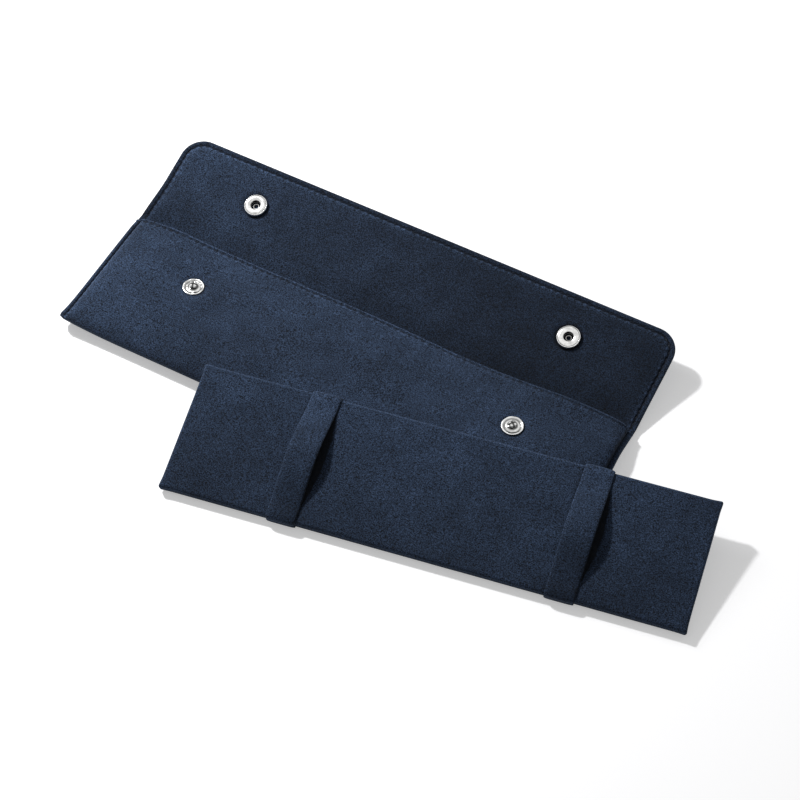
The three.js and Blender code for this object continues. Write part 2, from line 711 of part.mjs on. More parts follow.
function buildPocket(pocket, hinge) {
  part(pocket, 'front_cover', panelPly(COVER_DEPTHS, true), 'suede');
  part(pocket, 'front_padding', panelPly(PADDING_DEPTHS, false), 'foam');
  part(pocket, 'front_lining', panelPly(LINING_DEPTHS, false), 'lining');
  part(pocket, 'mouth_hem', mouthHem(), 'suede');

  const backEnd = FOLD_INSET + PLY_GAP;
  const fold = FOLD_RADIUS + SEAT_GAP;
  const side = BORDER + SEAT_GAP;
  const [padLow, padHigh] = PADDING_DEPTHS;
  part(pocket, 'back_cover', plate(backOutline(0, fold, backEnd), 0, SUEDE), 'suede');
  part(pocket, 'back_padding', plate(backOutline(side, fold, backEnd), padLow, padHigh), 'foam');
  part(pocket, 'back_lining', backLining(hinge), 'lining');
  part(pocket, 'seam_allowance_left', seamAllowance(-1), 'suedeDark');
  part(pocket, 'seam_allowance_right', seamAllowance(1), 'suedeDark');

  for (const [label, x] of [['left', -SNAP_X], ['right', SNAP_X]]) {
    const base = panelHeight(x, STUD_INSET, 1);
    const face = part(pocket, `stud_${label}`, stud(), 'chrome');
    face.position.set(x, -STUD_INSET, base + PLY_GAP);
    const post = part(pocket, `stud_eyelet_${label}`, eyelet(), 'chrome');
    post.position.set(x, -STUD_INSET, base - PANEL_THICK - PLY_GAP);
  }
}

function buildFlap(flap, hinge) {
  const { radius, socketS } = hinge;
  const start = FLAP_START;
  const inner = -radius;
  const faceUnder = inner - SUEDE;
  const paddingTop = faceUnder - PLY_GAP;
  const paddingUnder = paddingTop - PADDING;
  const coverTop = paddingUnder - PLY_GAP;
  const outer = coverTop - SUEDE;
  const hole = BARREL_RADIUS + SEAT_GAP;
  const inset = BORDER + PLY_GAP;

  const facing = ply(flapGrid(socketS, start, 0, inner), flapGrid(socketS, start, 0, faceUnder));
  const flatUnder = flapGrid(socketS, start, inset, 0).map((column) => column.map(([x, s]) => [x, s, paddingUnder]));
  const padding = ply(flapGrid(socketS, start, inset, paddingTop), flatUnder);
  part(flap, 'flap_facing', drillPair(facing, socketS, hole), 'suede');
  part(flap, 'flap_padding', drillPair(padding, socketS, hole), 'foam');
  part(flap, 'flap_cover', drillPair(plate(flapOutline(start, 0), outer, coverTop), socketS, hole), 'suede');
  part(flap, 'flap_seam_allowance', flapAllowance(start, paddingUnder, paddingTop), 'suedeDark');

  for (const [label, x] of [['left', -SNAP_X], ['right', SNAP_X]]) {
    part(flap, `snap_cap_${label}`, cap(), 'chrome').position.set(x, socketS, outer - PLY_GAP);
    part(flap, `snap_socket_${label}`, socket(), 'chrome').position.set(x, socketS, inner + PLY_GAP);
    const spring = part(flap, `socket_spring_${label}`, socketSpring(), 'springSteel');
    spring.position.set(x, socketS, inner + PLY_GAP + SOCKET_FLOOR + 0.75);
  }
}

function buildPad(pad, drop) {
  const boardLow = PAD_BACKING + PLY_GAP;
  const foamLow = boardLow + PAD_BOARD + PLY_GAP;
  const foamEdge = foamLow + PAD_FOAM;
  const coverUnder = foamEdge + PLY_GAP;
  const coverTop = coverUnder + SUEDE;
  const inside = SUEDE + PLY_GAP;

  const shell = subtract(padBlock(0, coverTop, 0), padBlock(-1, coverUnder, SUEDE));
  part(pad, 'pad_cover', shell, 'suede');
  part(pad, 'pad_foam', padBlock(foamLow, foamEdge, inside), 'foam');
  part(pad, 'pad_board', padPlate(inside, boardLow, boardLow + PAD_BOARD), 'card');
  part(pad, 'pad_backing', padPlate(inside, 0, PAD_BACKING), 'suedeDark');
  for (const [label, x] of [['left', STRAP_INSET], ['right', PAD_LENGTH - STRAP_INSET]]) {
    part(pad, `strap_${label}`, strap(coverTop), 'suede').position.x = x - STRAP_WIDTH / 2;
  }
  for (const piece of pad.children) {
    piece.position.y += drop;
    piece.position.z += drop;
  }
}

const model = new THREE.Group();
const pouch = new THREE.Group();
pouch.position.y = BODY_DEPTH / 2;
model.add(pouch);

const hinge = foldAxis();
buildPocket(pouch, hinge);

const flap = new THREE.Group();
flap.position.set(0, hinge.y, hinge.z);
flap.rotation.x = FLAP_RISE * RADIANS;
buildFlap(flap, hinge);
pouch.add(flap);

const strapDrop = PLY_GAP + STRAP_THICK;
const pad = new THREE.Group();
pad.position.set(PAD_X, PAD_Y, 0);
pad.rotation.set(padLean(strapDrop), 0, PAD_TURN * RADIANS, 'ZYX');
buildPad(pad, strapDrop);
pouch.add(pad);

console.log(`fold axis y ${(hinge.y + BODY_DEPTH / 2).toFixed(3)} z ${hinge.z.toFixed(3)} radius ${hinge.radius.toFixed(3)}`);
console.log(`pad lean ${(pad.rotation.x / RADIANS).toFixed(3)} degrees`);

export default model;
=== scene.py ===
"""Looks of the jewellery snap pouch: microsuede pocket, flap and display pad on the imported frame."""
import math

import bmesh
import bpy
import numpy as np
from mathutils import Matrix, Vector


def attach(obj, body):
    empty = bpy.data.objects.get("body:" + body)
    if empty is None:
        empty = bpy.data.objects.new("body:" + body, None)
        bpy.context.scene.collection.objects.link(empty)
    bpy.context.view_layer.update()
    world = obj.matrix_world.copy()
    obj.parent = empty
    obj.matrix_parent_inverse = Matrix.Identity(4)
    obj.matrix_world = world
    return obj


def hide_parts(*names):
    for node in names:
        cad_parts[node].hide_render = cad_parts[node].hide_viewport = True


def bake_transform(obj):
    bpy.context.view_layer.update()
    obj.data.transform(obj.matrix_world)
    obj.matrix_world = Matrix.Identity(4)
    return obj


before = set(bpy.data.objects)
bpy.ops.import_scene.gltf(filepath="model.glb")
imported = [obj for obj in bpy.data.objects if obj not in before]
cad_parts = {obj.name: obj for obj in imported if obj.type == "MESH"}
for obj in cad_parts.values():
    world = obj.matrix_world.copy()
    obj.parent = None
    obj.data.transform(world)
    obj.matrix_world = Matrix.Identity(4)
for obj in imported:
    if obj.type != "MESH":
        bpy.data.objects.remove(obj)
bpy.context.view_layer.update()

MM = 0.001

# Sizes in millimetres, given or worked out in part.mjs
HALF = 110.0         # half the pouch's length, to its sewn sides
BODY = 59.0          # mouth's edge to bottom fold
SEAM_R = 1.6         # half the thickness at the sewn sides
MOUTH = 8.6          # top of the mouth's front edge
CREST = 10.0         # top of the front panel's swell
CREST_INSET = 27.0
SWELL = 26.0         # width over which the swell rises from each side
HEM = 1.6
PANEL_THICK = 1.44
PLY_GAP = 0.12
FOLD_INSET = 1.8     # mouth's edge to the fold axis behind it
FOLD_Y = 31.3
FOLD_Z = 6.769
FOLD_R = 4.979       # fold axis to the flap's facing
FLAP = 42.2
FLAP_CORNER = 9.5
FLAP_THICK = 1.64
RISE = math.radians(16.2)
SNAP_X = 69.8
STUD_INSET = 22.0
SOCKET_FLOOR = 0.35
PAD = (200.0, 52.0)
PAD_X, PAD_Y = -34.0, -75.7
PAD_DROP = 0.72
PAD_EDGE = 3.66
PAD_LEAN = math.radians(12.035)
PAD_CROWN = 0.7
STRAP_WIDTH = 11.0
STRAP_TAIL = 0.6     # thickness of a strap's tails

# Sizes that follow the photograph more closely than the CAD does
BODY_CORNER = 2.8
BORDER = 2.15        # edge to stitch line
PAD_TURN = math.radians(10.4)
STRAP_THICK = 1.0
STRAP_ARCH = 5.0
# Middle of each strap at its near and far end, and how far its arch is drawn aside
STRAPS = ((47.6, 48.6, 0.0), (153.2, 154.0, 0.35))

# Sizes of the looks only
STITCH = 3.0         # one stitch and its gap
STITCH_LENGTH = 2.15
THREAD_R = 0.25
HEM_STITCH = 1.35    # mouth's edge to its stitches
HEM_THICK = 1.4
ARC = 1.62           # cloth taken up by the turn at the fold
SIDE_LIFT = 2.3      # rise of the sewn sides off the surface
MOUTH_LIFT = 0.9     # their further rise towards the open mouth
RIGHT_DROP = 0.86    # share of the rise that the right side loses at the fold, where it lies down
PAD_HOLDS = 0.94     # share of it that the panel loses beneath the pad
NOSE_LIFT = 4.0      # rise of the bottom fold where the pad doesn't hold it down
NOSE_PULL = 1.7      # and how far the filled pocket draws it in
STUD_LEAN = math.radians(4.2)
RIGHT_FULL = 0.62    # fullness of the pocket's right side, 1 for the CAD's ellipse

# Places worked out from them
MOUTH_Y = BODY / 2
STITCH_X = HALF - BORDER
SIDE_START = STITCH_X - SWELL
T_END = ARC + FLAP
SHUT = math.radians(2)   # how far the shut flap is from lying flat
SOCKET_S = (STUD_INSET + FOLD_INSET + FOLD_R * math.sin(SHUT)) / math.cos(SHUT)


# Numbers

def smooth(value):
    t = np.clip(value, 0, 1)
    return t * t * (3 - 2 * t)


def bump(value, width):
    return np.exp(-(np.asarray(value, float) / width) ** 2)


TABLES = np.random.default_rng(7).random((24, 64, 64)) * 2 - 1


def ripple(x, y, size, seed):
    """Smooth noise from -1 to 1, with features of about size."""
    table = TABLES[seed % 24]
    u, v = np.asarray(x, float) / size + 512.3, np.asarray(y, float) / size + 512.7
    i, j = np.floor(u).astype(int), np.floor(v).astype(int)
    fu, fv = smooth(u - i), smooth(v - j)
    a, b = table[i % 64, j % 64], table[(i + 1) % 64, j % 64]
    c, d = table[i % 64, (j + 1) % 64], table[(i + 1) % 64, (j + 1) % 64]
    return (a * (1 - fu) + b * fu) * (1 - fv) + (c * (1 - fu) + d * fu) * fv


def folds(x, y, size, seed):
    fine = 0.5 * ripple(x, y, size / 2.1, seed + 1) + 0.25 * ripple(x, y, size / 4.3, seed + 2)
    return ripple(x, y, size, seed) + fine


def from_snap(x, y, snap_y):
    return np.hypot(np.abs(x) - SNAP_X, y - snap_y)


def dimple(x, y, snap_y, radius, fade):
    return smooth(1 - (from_snap(x, y, snap_y) - radius) / fade)


def corner_inset(x, half, radius):
    into = np.clip(np.abs(x) - (half - radius), 0, radius)
    return radius - np.sqrt(np.maximum(radius * radius - into * into, 0))


def pull_at(along):
    """1 where a stitch dives into the cloth, 0 midway between two."""
    return 0.5 + 0.5 * np.cos(2 * math.pi * along / STITCH)


def turn(start, stop, count):
    return np.radians(np.linspace(start, stop, count))


def flattened(value, power):
    """Makes the sine and cosine of a round section those of a flatter one."""
    return np.sign(value) * np.abs(value) ** power


def xyz(x, y, z):
    return np.stack(np.broadcast_arrays(x, y, z), -1)


# Meshes

def close_up(mesh):
    """Joins the points at a turned form's poles and turns every face outwards."""
    work = bmesh.new()
    work.from_mesh(mesh)
    bmesh.ops.remove_doubles(work, verts=work.verts, dist=3e-6)
    bmesh.ops.recalc_face_normals(work, faces=work.faces)
    if work.calc_volume(signed=True) < 0:
        bmesh.ops.reverse_faces(work, faces=work.faces)
    work.to_mesh(mesh)
    work.free()


def thicken(obj, thick):
    """Gives a sheet its thickness, on the side away from its normals."""
    modifier = obj.modifiers.new("thickness", "SOLIDIFY")
    modifier.thickness = thick * MM
    modifier.offset = -1
    modifier.use_rim = True
    bpy.context.view_layer.update()
    sheet = obj.data
    obj.data = bpy.data.meshes.new_from_object(obj.evaluated_get(bpy.context.evaluated_depsgraph_get()))
    obj.modifiers.clear()
    obj.data.name = sheet.name
    bpy.data.meshes.remove(sheet)


def link(name, data):
    obj = bpy.data.objects.new(name, data)
    bpy.context.scene.collection.objects.link(obj)
    return obj


def mesh_object(name, points, faces, material, press=None, sharp=None, thick=None):
    """A mesh from points in millimetres: a closed form, or a sheet where thick is given."""
    mesh = bpy.data.meshes.new(name)
    places = np.asarray(points, float).reshape(-1, 3) * MM
    mesh.from_pydata(places.tolist(), [], [tuple(int(i) for i in face) for face in faces])
    # The attribute holds painted shade where it is above 0 and painted highlights where it is below 0,
    # besides some worn pile at the seams.
    if press is not None:
        attribute = mesh.attributes.new("press", "FLOAT", "POINT")
        attribute.data.foreach_set("value", np.asarray(press, np.float32).ravel())
    mesh.validate()
    if thick is None:
        close_up(mesh)
    mesh.shade_smooth()
    if sharp is not None:
        mesh.set_sharp_from_angle(angle=math.radians(sharp))
    mesh.materials.append(material)
    obj = link(name, mesh)
    if thick is not None:
        thicken(obj, thick)
    return obj


def piece(name, points, faces, slot, body, *nodes, fill=None, **form):
    """A visible piece in place of CAD nodes."""
    obj = mesh_object(name, points, faces, MATERIALS[slot], **form)
    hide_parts(*nodes)
    if body is not None:
        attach(obj, body)
    return obj


def grid_faces(columns, rows, closed_columns=False, closed_rows=False, flip=False):
    faces = []
    for i in range(columns if closed_columns else columns - 1):
        a, b = i * rows, (i + 1) % columns * rows
        for j in range(rows if closed_rows else rows - 1):
            k = (j + 1) % rows
            quad = (a + j, b + j, b + k, a + k)
            faces.append(quad[::-1] if flip else quad)
    return faces


def tube_faces(columns, rows, flip=False):
    """Faces of a closed tube, with a cap at each end."""
    last = (columns - 1) * rows
    caps = [tuple(range(rows)), tuple(range(last, last + rows))]
    return grid_faces(columns, rows, closed_rows=True, flip=flip) + caps


def flat_tube_faces(columns, rows):
    """Faces of a flattened tube, whose ends are closed by strips from its upper to its lower half."""
    faces = grid_faces(columns, rows, closed_rows=True, flip=True)
    for base in (0, (columns - 1) * rows):
        for j in range(rows // 2 - 1):
            faces.append((base + j, base + j + 1, base + rows - 2 - j, base + rows - 1 - j))
    return faces


class RoundedSheet:
    """Points of a rounded rectangle: rings that follow its outline, then an inner grid that meets them.
    Its corners are numbered from the low one, anticlockwise."""

    def __init__(self, low, high, radii, nx, ny, insets, arc):
        self.low, self.high, self.radii = low, high, radii
        self.nx, self.ny, self.arc = nx, ny, arc
        self.rings = [self.ring(inset) for inset in insets]
        self.size = len(self.rings[0])
        self.build()

    def corner_arc(self, index, inset, start):
        """Half of a corner's arc, from start degrees on."""
        (x0, y0), (x1, y1) = self.low, self.high
        radius = max(self.radii[index] - inset, 0.25)
        reach = inset + radius
        cx = x0 + reach if index in (0, 3) else x1 - reach
        cy = y0 + reach if index in (0, 1) else y1 - reach
        return [(cx + radius * math.cos(a), cy + radius * math.sin(a))
                for a in turn(start, start + 45, self.arc + 1)]

    def ring(self, inset):
        points = []
        for side in range(4):
            start = 225 + 90 * side
            first = self.corner_arc(side, inset, start)
            second = self.corner_arc((side + 1) % 4, inset, start + 45)
            straight = (self.ny if side % 2 else self.nx) - 2 * self.arc
            p, q = np.array(first[-1]), np.array(second[0])
            middle = [tuple(p + (q - p) * k / straight) for k in range(1, straight)]
            points += first + middle + second[:-1]
        return np.array(points)

    def build(self):
        nx, ny, size = self.nx, self.ny, self.size
        inner = self.rings[-1]
        bottom = inner[: nx + 1]
        right = inner[nx: nx + ny + 1]
        top = inner[nx + ny: 2 * nx + ny + 1][::-1]
        left = np.vstack([inner[2 * nx + ny:], inner[:1]])[::-1]
        u = np.linspace(0, 1, nx + 1)[:, None, None]
        v = np.linspace(0, 1, ny + 1)[None, :, None]
        grid = ((1 - v) * bottom[:, None] + v * top[:, None] + (1 - u) * left[None] + u * right[None]
                - (1 - u) * (1 - v) * bottom[0] - u * (1 - v) * bottom[-1]
                - (1 - u) * v * top[0] - u * v * top[-1])
        base = (len(self.rings) - 1) * size
        inside = base + size
        index = np.zeros((nx + 1, ny + 1), int)
        index[:, 0] = base + np.arange(nx + 1)
        index[:, ny] = base + 2 * nx + ny - np.arange(nx + 1)
        index[nx] = base + nx + np.arange(ny + 1)
        index[0, 1:] = base + 2 * (nx + ny) - np.arange(1, ny + 1)
        index[1:nx, 1:ny] = inside + np.arange((nx - 1) * (ny - 1)).reshape(nx - 1, ny - 1)
        self.flat = np.vstack([*self.rings, grid[1:nx, 1:ny].reshape(-1, 2)])
        self.faces = []
        for k in range(len(self.rings) - 1):
            for i in range(size):
                a, b = k * size + i, k * size + (i + 1) % size
                self.faces.append((a, b, b + size, a + size))
        for i in range(nx):
            for j in range(ny):
                self.faces.append((index[i, j], index[i + 1, j], index[i + 1, j + 1], index[i, j + 1]))

    def rim_faces(self, rows):
        """Faces that join extra rings, given outside in, to the sheet's outermost ring."""
        size, total = self.size, len(self.flat)
        faces = []
        for k in range(rows):
            low = total + k * size
            high = low + size if k + 1 < rows else 0
            for i in range(size):
                j = (i + 1) % size
                faces.append((low + i, low + j, high + j, high + i))
        return faces


# Materials

class Graph:
    """Nodes of a material or of the world. An input is a number, a colour or another node's output."""

    def __init__(self, tree):
        self.nodes, self.links = tree.nodes, tree.links
        self.nodes.clear()

    def feed(self, node, inputs):
        for name, value in inputs.items():
            if isinstance(value, bpy.types.NodeSocket):
                self.links.new(value, node.inputs[name])
            else:
                node.inputs[name].default_value = value

    def node(self, kind, inputs=None, out=0, **settings):
        node = self.nodes.new("ShaderNode" + kind)
        for name, value in settings.items():
            setattr(node, name, value)
        self.feed(node, inputs or {})
        return node.outputs[out]

    def maths(self, operation, a, b):
        return self.node("Math", {0: a, 1: b}, operation=operation)

    def times(self, first, *others):
        for other in others:
            first = self.maths("MULTIPLY", first, other)
        return first

    def remap(self, value, to_low, to_high, low=0.3, high=0.7, clamp=True):
        inputs = {"Value": value, "From Min": low, "From Max": high, "To Min": to_low, "To Max": to_high}
        return self.node("MapRange", inputs, clamp=clamp)

    def seen_directly(self):
        """1 for rays from the camera or by way of plating or glass, 0 for those that light the cloth."""
        rays = self.nodes.new("ShaderNodeLightPath").outputs
        seen = self.maths("MAXIMUM", rays["Is Camera Ray"], rays["Is Glossy Ray"])
        return self.maths("MAXIMUM", seen, rays["Is Transmission Ray"])


class Surface(Graph):
    """A material with a Principled shader, textured in the piece's own coordinates."""

    def __init__(self, name):
        self.material = bpy.data.materials.new(name)
        self.material.use_nodes = True
        super().__init__(self.material.node_tree)
        self.output = self.nodes.new("ShaderNodeOutputMaterial")
        self.shader = self.nodes.new("ShaderNodeBsdfPrincipled")
        self.links.new(self.shader.outputs[0], self.output.inputs[0])
        self.place = self.node("TexCoord", out="Object")

    def noise(self, scale, detail, rough):
        inputs = {"Vector": self.place, "Scale": scale, "Detail": detail, "Roughness": rough}
        return self.node("TexNoise", inputs)

    def wave(self, scale, distortion, direction, **more):
        inputs = {"Vector": self.place, "Scale": scale, "Distortion": distortion, **more}
        return self.node("TexWave", inputs, "Fac", bands_direction=direction)

    # Reads the attribute of painted shade and highlights, with some worn pile at the seams.
    def pressed(self):
        return self.node("Attribute", out="Fac", attribute_name="press")

    def finish(self, colour, tone, roughness, relief=None, depth=0.0, strength=1.0, **more):
        """Sets the shader: colour times tone, roughness, and relief of a depth in metres."""
        paint = self.node("VectorMath", {0: colour, "Scale": tone}, operation="SCALE")
        self.feed(self.shader, {"Base Color": paint, "Roughness": roughness})
        self.feed(self.shader, {name.replace("_", " "): value for name, value in more.items()})
        if relief is not None:
            bumps = self.node("Bump", {"Strength": strength, "Distance": depth, "Height": relief})
            self.feed(self.shader, {"Normal": bumps})
        return self.material


def suede(name, colour, sheen):
    """Microsuede: mottled short pile, brushed patches, a soft sheen, painted shade where the attribute is
    above 0 and painted highlights where it is below 0, with some worn pile at the seams."""
    cloth = Surface(name)
    fine, mottle = cloth.noise(2450, 2, 0.55), cloth.noise(880, 2, 0.5)
    brushed, patches = cloth.noise(110, 3, 0.55), cloth.noise(26, 2, 0.5)
    # Painted shade and highlights from the attribute.
    shade = cloth.remap(cloth.pressed(), 1, 0.26, 0, 1, clamp=False)
    tone = cloth.times(cloth.remap(fine, -0.1, 2.1, 0.35, 0.65), cloth.remap(mottle, 0.8, 1.2),
                       cloth.remap(brushed, 0.84, 1.16), cloth.remap(patches, 0.8, 1.2),
                       cloth.maths("MAXIMUM", shade, 0.07))
    relief = cloth.maths("ADD", cloth.times(fine, 0.6), mottle)
    return cloth.finish(colour, tone, cloth.remap(mottle, 0.82, 1.0), relief, 0.0002, 0.5,
                        Specular_IOR_Level=0.12, Sheen_Weight=sheen, Sheen_Roughness=0.45,
                        Sheen_Tint=(0.50, 0.62, 0.85, 1))


def woven(name, colour, pitch=0.45):
    """Plain weave: threads over and under, set out along the two ways of the cloth."""
    cloth = Surface(name)
    scale = 1000 / (pitch * 20)
    warp, weft = (cloth.wave(scale, 0.6, axis, **{"Detail Scale": 2.0}) for axis in "XY")
    threads = cloth.maths("ADD", warp, weft)
    slub = cloth.noise(260, 3, 0.6)
    tone = cloth.times(cloth.remap(threads, 0.6, 1.35, 0, 2), cloth.remap(slub, 0.85, 1.15))
    return cloth.finish(colour, tone, cloth.remap(slub, 0.6, 0.8), threads, 0.00006,
                        Specular_IOR_Level=0.25)


def porous(name, colour, scale, rough, depth):
    """Foam or board: cells or fibres in colour and relief."""
    stuff = Surface(name)
    cells = stuff.node("TexVoronoi", {"Vector": stuff.place, "Scale": scale}, "Distance")
    cloud = stuff.noise(scale / 3, 4, 0.6)
    tone = stuff.times(stuff.remap(cells, 1.05, 0.82, 0, 0.6), stuff.remap(cloud, 0.9, 1.08))
    return stuff.finish(colour, tone, stuff.remap(cloud, rough - 0.08, rough), cells, depth)


def plated(name, colour, rough):
    """Plating with polishing marks and smudges, dulled and darkened in its recesses by painted shade and
    painted dark reflections.
    """
    metal = Surface(name)
    marks, cloud = metal.noise(900, 4, 0.7), metal.noise(420, 3, 0.6)
    # Painted shade and painted dark reflections in the recesses.
    tone = metal.times(metal.remap(cloud, 0.70, 1.08, 0.35, 0.65),
                       metal.remap(metal.pressed(), 1, 0.05, 0, 1))
    return metal.finish(colour, tone, metal.remap(cloud, rough, rough + 0.10), marks, 0.00002, 0.35,
                        Metallic=1.0)


def twisted(name, colour):
    """Twisted sewing thread."""
    thread = Surface(name)
    strands = thread.wave(420, 1.5, "DIAGONAL")
    return thread.finish(colour, thread.remap(strands, 0.7, 1.25, 0, 1),
                         thread.remap(strands, 0.55, 0.75, 0, 1), Specular_IOR_Level=0.15)


MATERIALS = {
    "suede": suede("navy_microsuede", (0.0190, 0.0305, 0.0559), 0.15),
    "suede_edge": suede("turned_in_microsuede", (0.0150, 0.0240, 0.0440), 0.1),
    "lining": woven("navy_lining", (0.0138, 0.0210, 0.0382)),
    "padding": porous("grey_wadding", (0.58, 0.60, 0.64), 900, 0.98, 0.00015),
    "board": porous("grey_board", (0.26, 0.25, 0.23), 1600, 0.92, 0.00003),
    "chrome": plated("bright_plating", (0.91, 0.91, 0.90), 0.07),
    "spring_steel": plated("spring_wire", (0.45, 0.46, 0.48), 0.22),
}
THREAD = twisted("navy_thread", (0.0065, 0.0105, 0.0200))


# Pocket and flap: one cloth that turns at the fold

def settle(points):
    """Sets the flat-backed form as the real one lies: a cushion whose sewn sides and bottom fold
    stand a few millimetres off the surface, and a flap a touch longer than it is square."""
    x, y, z = np.moveaxis(np.asarray(points, float), -1, 0)
    side = np.clip((np.abs(x) - SIDE_START) / (HALF - SIDE_START), 0, 1) ** 2.2
    down = np.clip((-12 - y) / 17.5, 0, 1)
    free = 1 - smooth((x - 5) / 75)
    right = smooth((x - 50) / 50) * smooth((y - 16) / 15)
    under_pad = smooth((x - 50) / 27) * (1 - smooth((y + 4) / 22))
    rise = SIDE_LIFT * (1 - 0.25 * down ** 2) + MOUTH_LIFT * smooth((y + 24) / 52)
    rise = rise * (1 - RIGHT_DROP * right) * (1 - PAD_HOLDS * under_pad)
    rise = rise * (1 - smooth((y - FOLD_Y) / 22))
    out = 0.6 * smooth((x - 50) / 50) * smooth((y - 4) / 27) * side * (1 - smooth((y - FOLD_Y) / 30))
    nose = NOSE_LIFT * free * (1 - np.sqrt(np.maximum(1 - down ** 2, 0)))
    on_flap = smooth((y - FOLD_Y) / 25)
    return xyz(x - 0.4 * on_flap - out,
               y + NOSE_PULL * free * down ** 3 + 0.35 * on_flap + 1.9 * out,
               z + side * rise + nose * (1 - smooth(z / 10)))


def unroll(x, t, n):
    """A point of the back and flap. t runs from the bottom fold (negative) over the fold axis to the
    flap's free edge, and n is its height over the axis, square to the cloth."""
    x, t, n = np.broadcast_arrays(np.asarray(x, float), t, n)
    angle = RISE * np.clip(t / ARC, 0, 1)
    s = np.maximum(t - ARC, 0)
    y = np.where(t < 0, FOLD_Y + t, FOLD_Y + s * np.cos(angle) - n * np.sin(angle))
    return xyz(x, y, FOLD_Z + s * np.sin(angle) + n * np.cos(angle))


def flap_rim(x, t):
    """Distance from the flap's outline, and the length along its stitch line from the fold."""
    straight = T_END - FLAP_CORNER
    stitch_r = FLAP_CORNER - BORDER
    px, pt = np.abs(x) - (HALF - FLAP_CORNER), t - straight
    in_corner = (px > 0) & (pt > 0)
    side, top = HALF - np.abs(x), T_END - t
    angle = np.arctan2(np.maximum(pt, 0), np.maximum(px, 1e-9))
    past_corner = straight + stitch_r * math.pi / 2 - px
    along = np.where(in_corner, straight + stitch_r * angle, np.where(side < top, t, past_corner))
    return np.where(in_corner, FLAP_CORNER - np.hypot(px, pt), np.minimum(side, top)), along


def quilting(distance, along, depth=0.62):
    """Groove of a stitch line, deeper at each stitch, and the slight swell of the border outside it."""
    pull = pull_at(along)
    groove = -depth * (0.6 + 0.4 * pull) * bump(distance - BORDER, 0.5)
    scallop = -0.28 * pull * bump(np.maximum(distance - BORDER, 0), 1.5) * (distance > BORDER)
    return groove + scallop + 0.24 * bump(distance - 1.3, 0.7)


def press_of(distance, along, x):
    """Painted light along a seam: painted shade in its stitch groove, darkest at each stitch, a border
    darkened by worn pile and painted shade, a painted highlight along its rim, and painted highlights on the
    puffs between the stitches."""
    # Painted shade on the border, darker towards the left, and a painted highlight at the right end, where
    # the panel's shadow falls.
    flat = 0.52 - 0.47 * smooth((x - 25) / 65) - 0.75 * smooth((x - 101) / 5)
    pull = pull_at(along)
    seam = (0.7 + 0.9 * pull) * bump(distance - BORDER, 0.42)
    # The border's outer rim gets a painted highlight.
    border = flat * smooth((BORDER - distance) / 0.6 + 0.5) - 0.9 * bump(distance - 0.85, 0.45)
    puffs = (1.3 * (1 - pull) * bump(distance - BORDER - 0.95, 0.5)
             + 0.15 * bump(distance - BORDER - 1.4, 1.4))
    return np.maximum(seam, border) - puffs


def facing_height(x, t):
    """n of the flap's inner face."""
    distance, along = flap_rim(x, t)
    inner = np.clip(distance - BORDER, 0, None)
    swell = (1 - np.exp(-inner / 3.5)) * smooth((t - ARC) / 12)
    flat = 1 - dimple(x, t - ARC, SOCKET_S, 4.9, 1.7)
    wave = 0.16 * folds(x, t, 34, 3) + 0.05 * ripple(x, t, 7, 9)
    calm = smooth(inner / 8) * flat * smooth((t - ARC) / 10)
    return -FOLD_R + 0.6 * swell * flat + wave * calm + quilting(distance, along) * smooth((t - ARC) / 2)


def outer_height(x, t):
    """n of the outer face of the back and flap."""
    distance, along = flap_rim(x, t)
    back = -FOLD_Z + 0.15 * smooth((t + 9) / 9) + 0.3 * bump(HALF - np.abs(x) - BORDER, 0.5)
    inner = np.clip(distance - BORDER, 0, None)
    wave = 0.12 * folds(x, t, 40, 12) * smooth(inner / 8) * smooth((t - ARC) / 12)
    wave = wave * (1 - dimple(x, t - ARC, SOCKET_S, 5.4, 4))
    face = np.where(t < 0, back, -FOLD_R - FLAP_THICK)
    return face - quilting(distance, along) * smooth((t - ARC) / 2) - wave


def seam_middle(t):
    """n of the line where the two rims meet: mid height of the pocket's side, then of the flap."""
    pocket = -FOLD_Z + SEAM_R
    flap = -FOLD_R - FLAP_THICK / 2
    return pocket + (flap - pocket) * smooth((t + 1.8) / 4)


INSETS = [1.7, 1.95, 2.2, 2.4, 2.6, 2.8, 3.0, 3.25, 3.6, 4.0, 4.6, 5.4, 6.4]
ROLL = [90, 70, 50, 30, 15]


def rolled_sheet(low_t, radii, height, side, nx, ny, tuck_low):
    """A cloth face whose rim rolls round to meet the other face. side is 1 for the upper face and -1
    for the under one. Also gives each point's place before the roll."""
    sheet = RoundedSheet((-HALF, low_t), (HALF, T_END), radii, nx, ny, INSETS, 7)
    edge, first = sheet.ring(0.0), sheet.rings[0]
    inward = (first - edge) / INSETS[0]
    face = height(first[:, 0], first[:, 1])
    drop = np.abs(face - seam_middle(edge[:, 1])) - 0.05
    if tuck_low:
        open_edge = smooth((edge[:, 1] - low_t) / 6)
        drop = drop * open_edge + 0.22 * (1 - open_edge)
    rings = [unroll(*(edge + inward * 0.55).T, face - side * (drop + 0.12))]
    radius = np.minimum(drop, INSETS[0] - 0.1)
    for a in np.radians(ROLL):
        place = edge + inward * (radius * (1 - math.sin(a)))[:, None]
        down = radius * (1 - math.cos(a)) + (drop - radius) * math.sin(a) ** 2
        rings.append(unroll(place[:, 0], place[:, 1], face - side * down))
    x, t = sheet.flat.T
    faces = sheet.faces + sheet.rim_faces(len(rings))
    return (np.vstack([unroll(x, t, height(x, t)), *rings]), [face[::side] for face in faces],
            np.vstack([sheet.flat] + [edge] * len(rings)).T)


def across_fold(obj):
    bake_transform(obj)


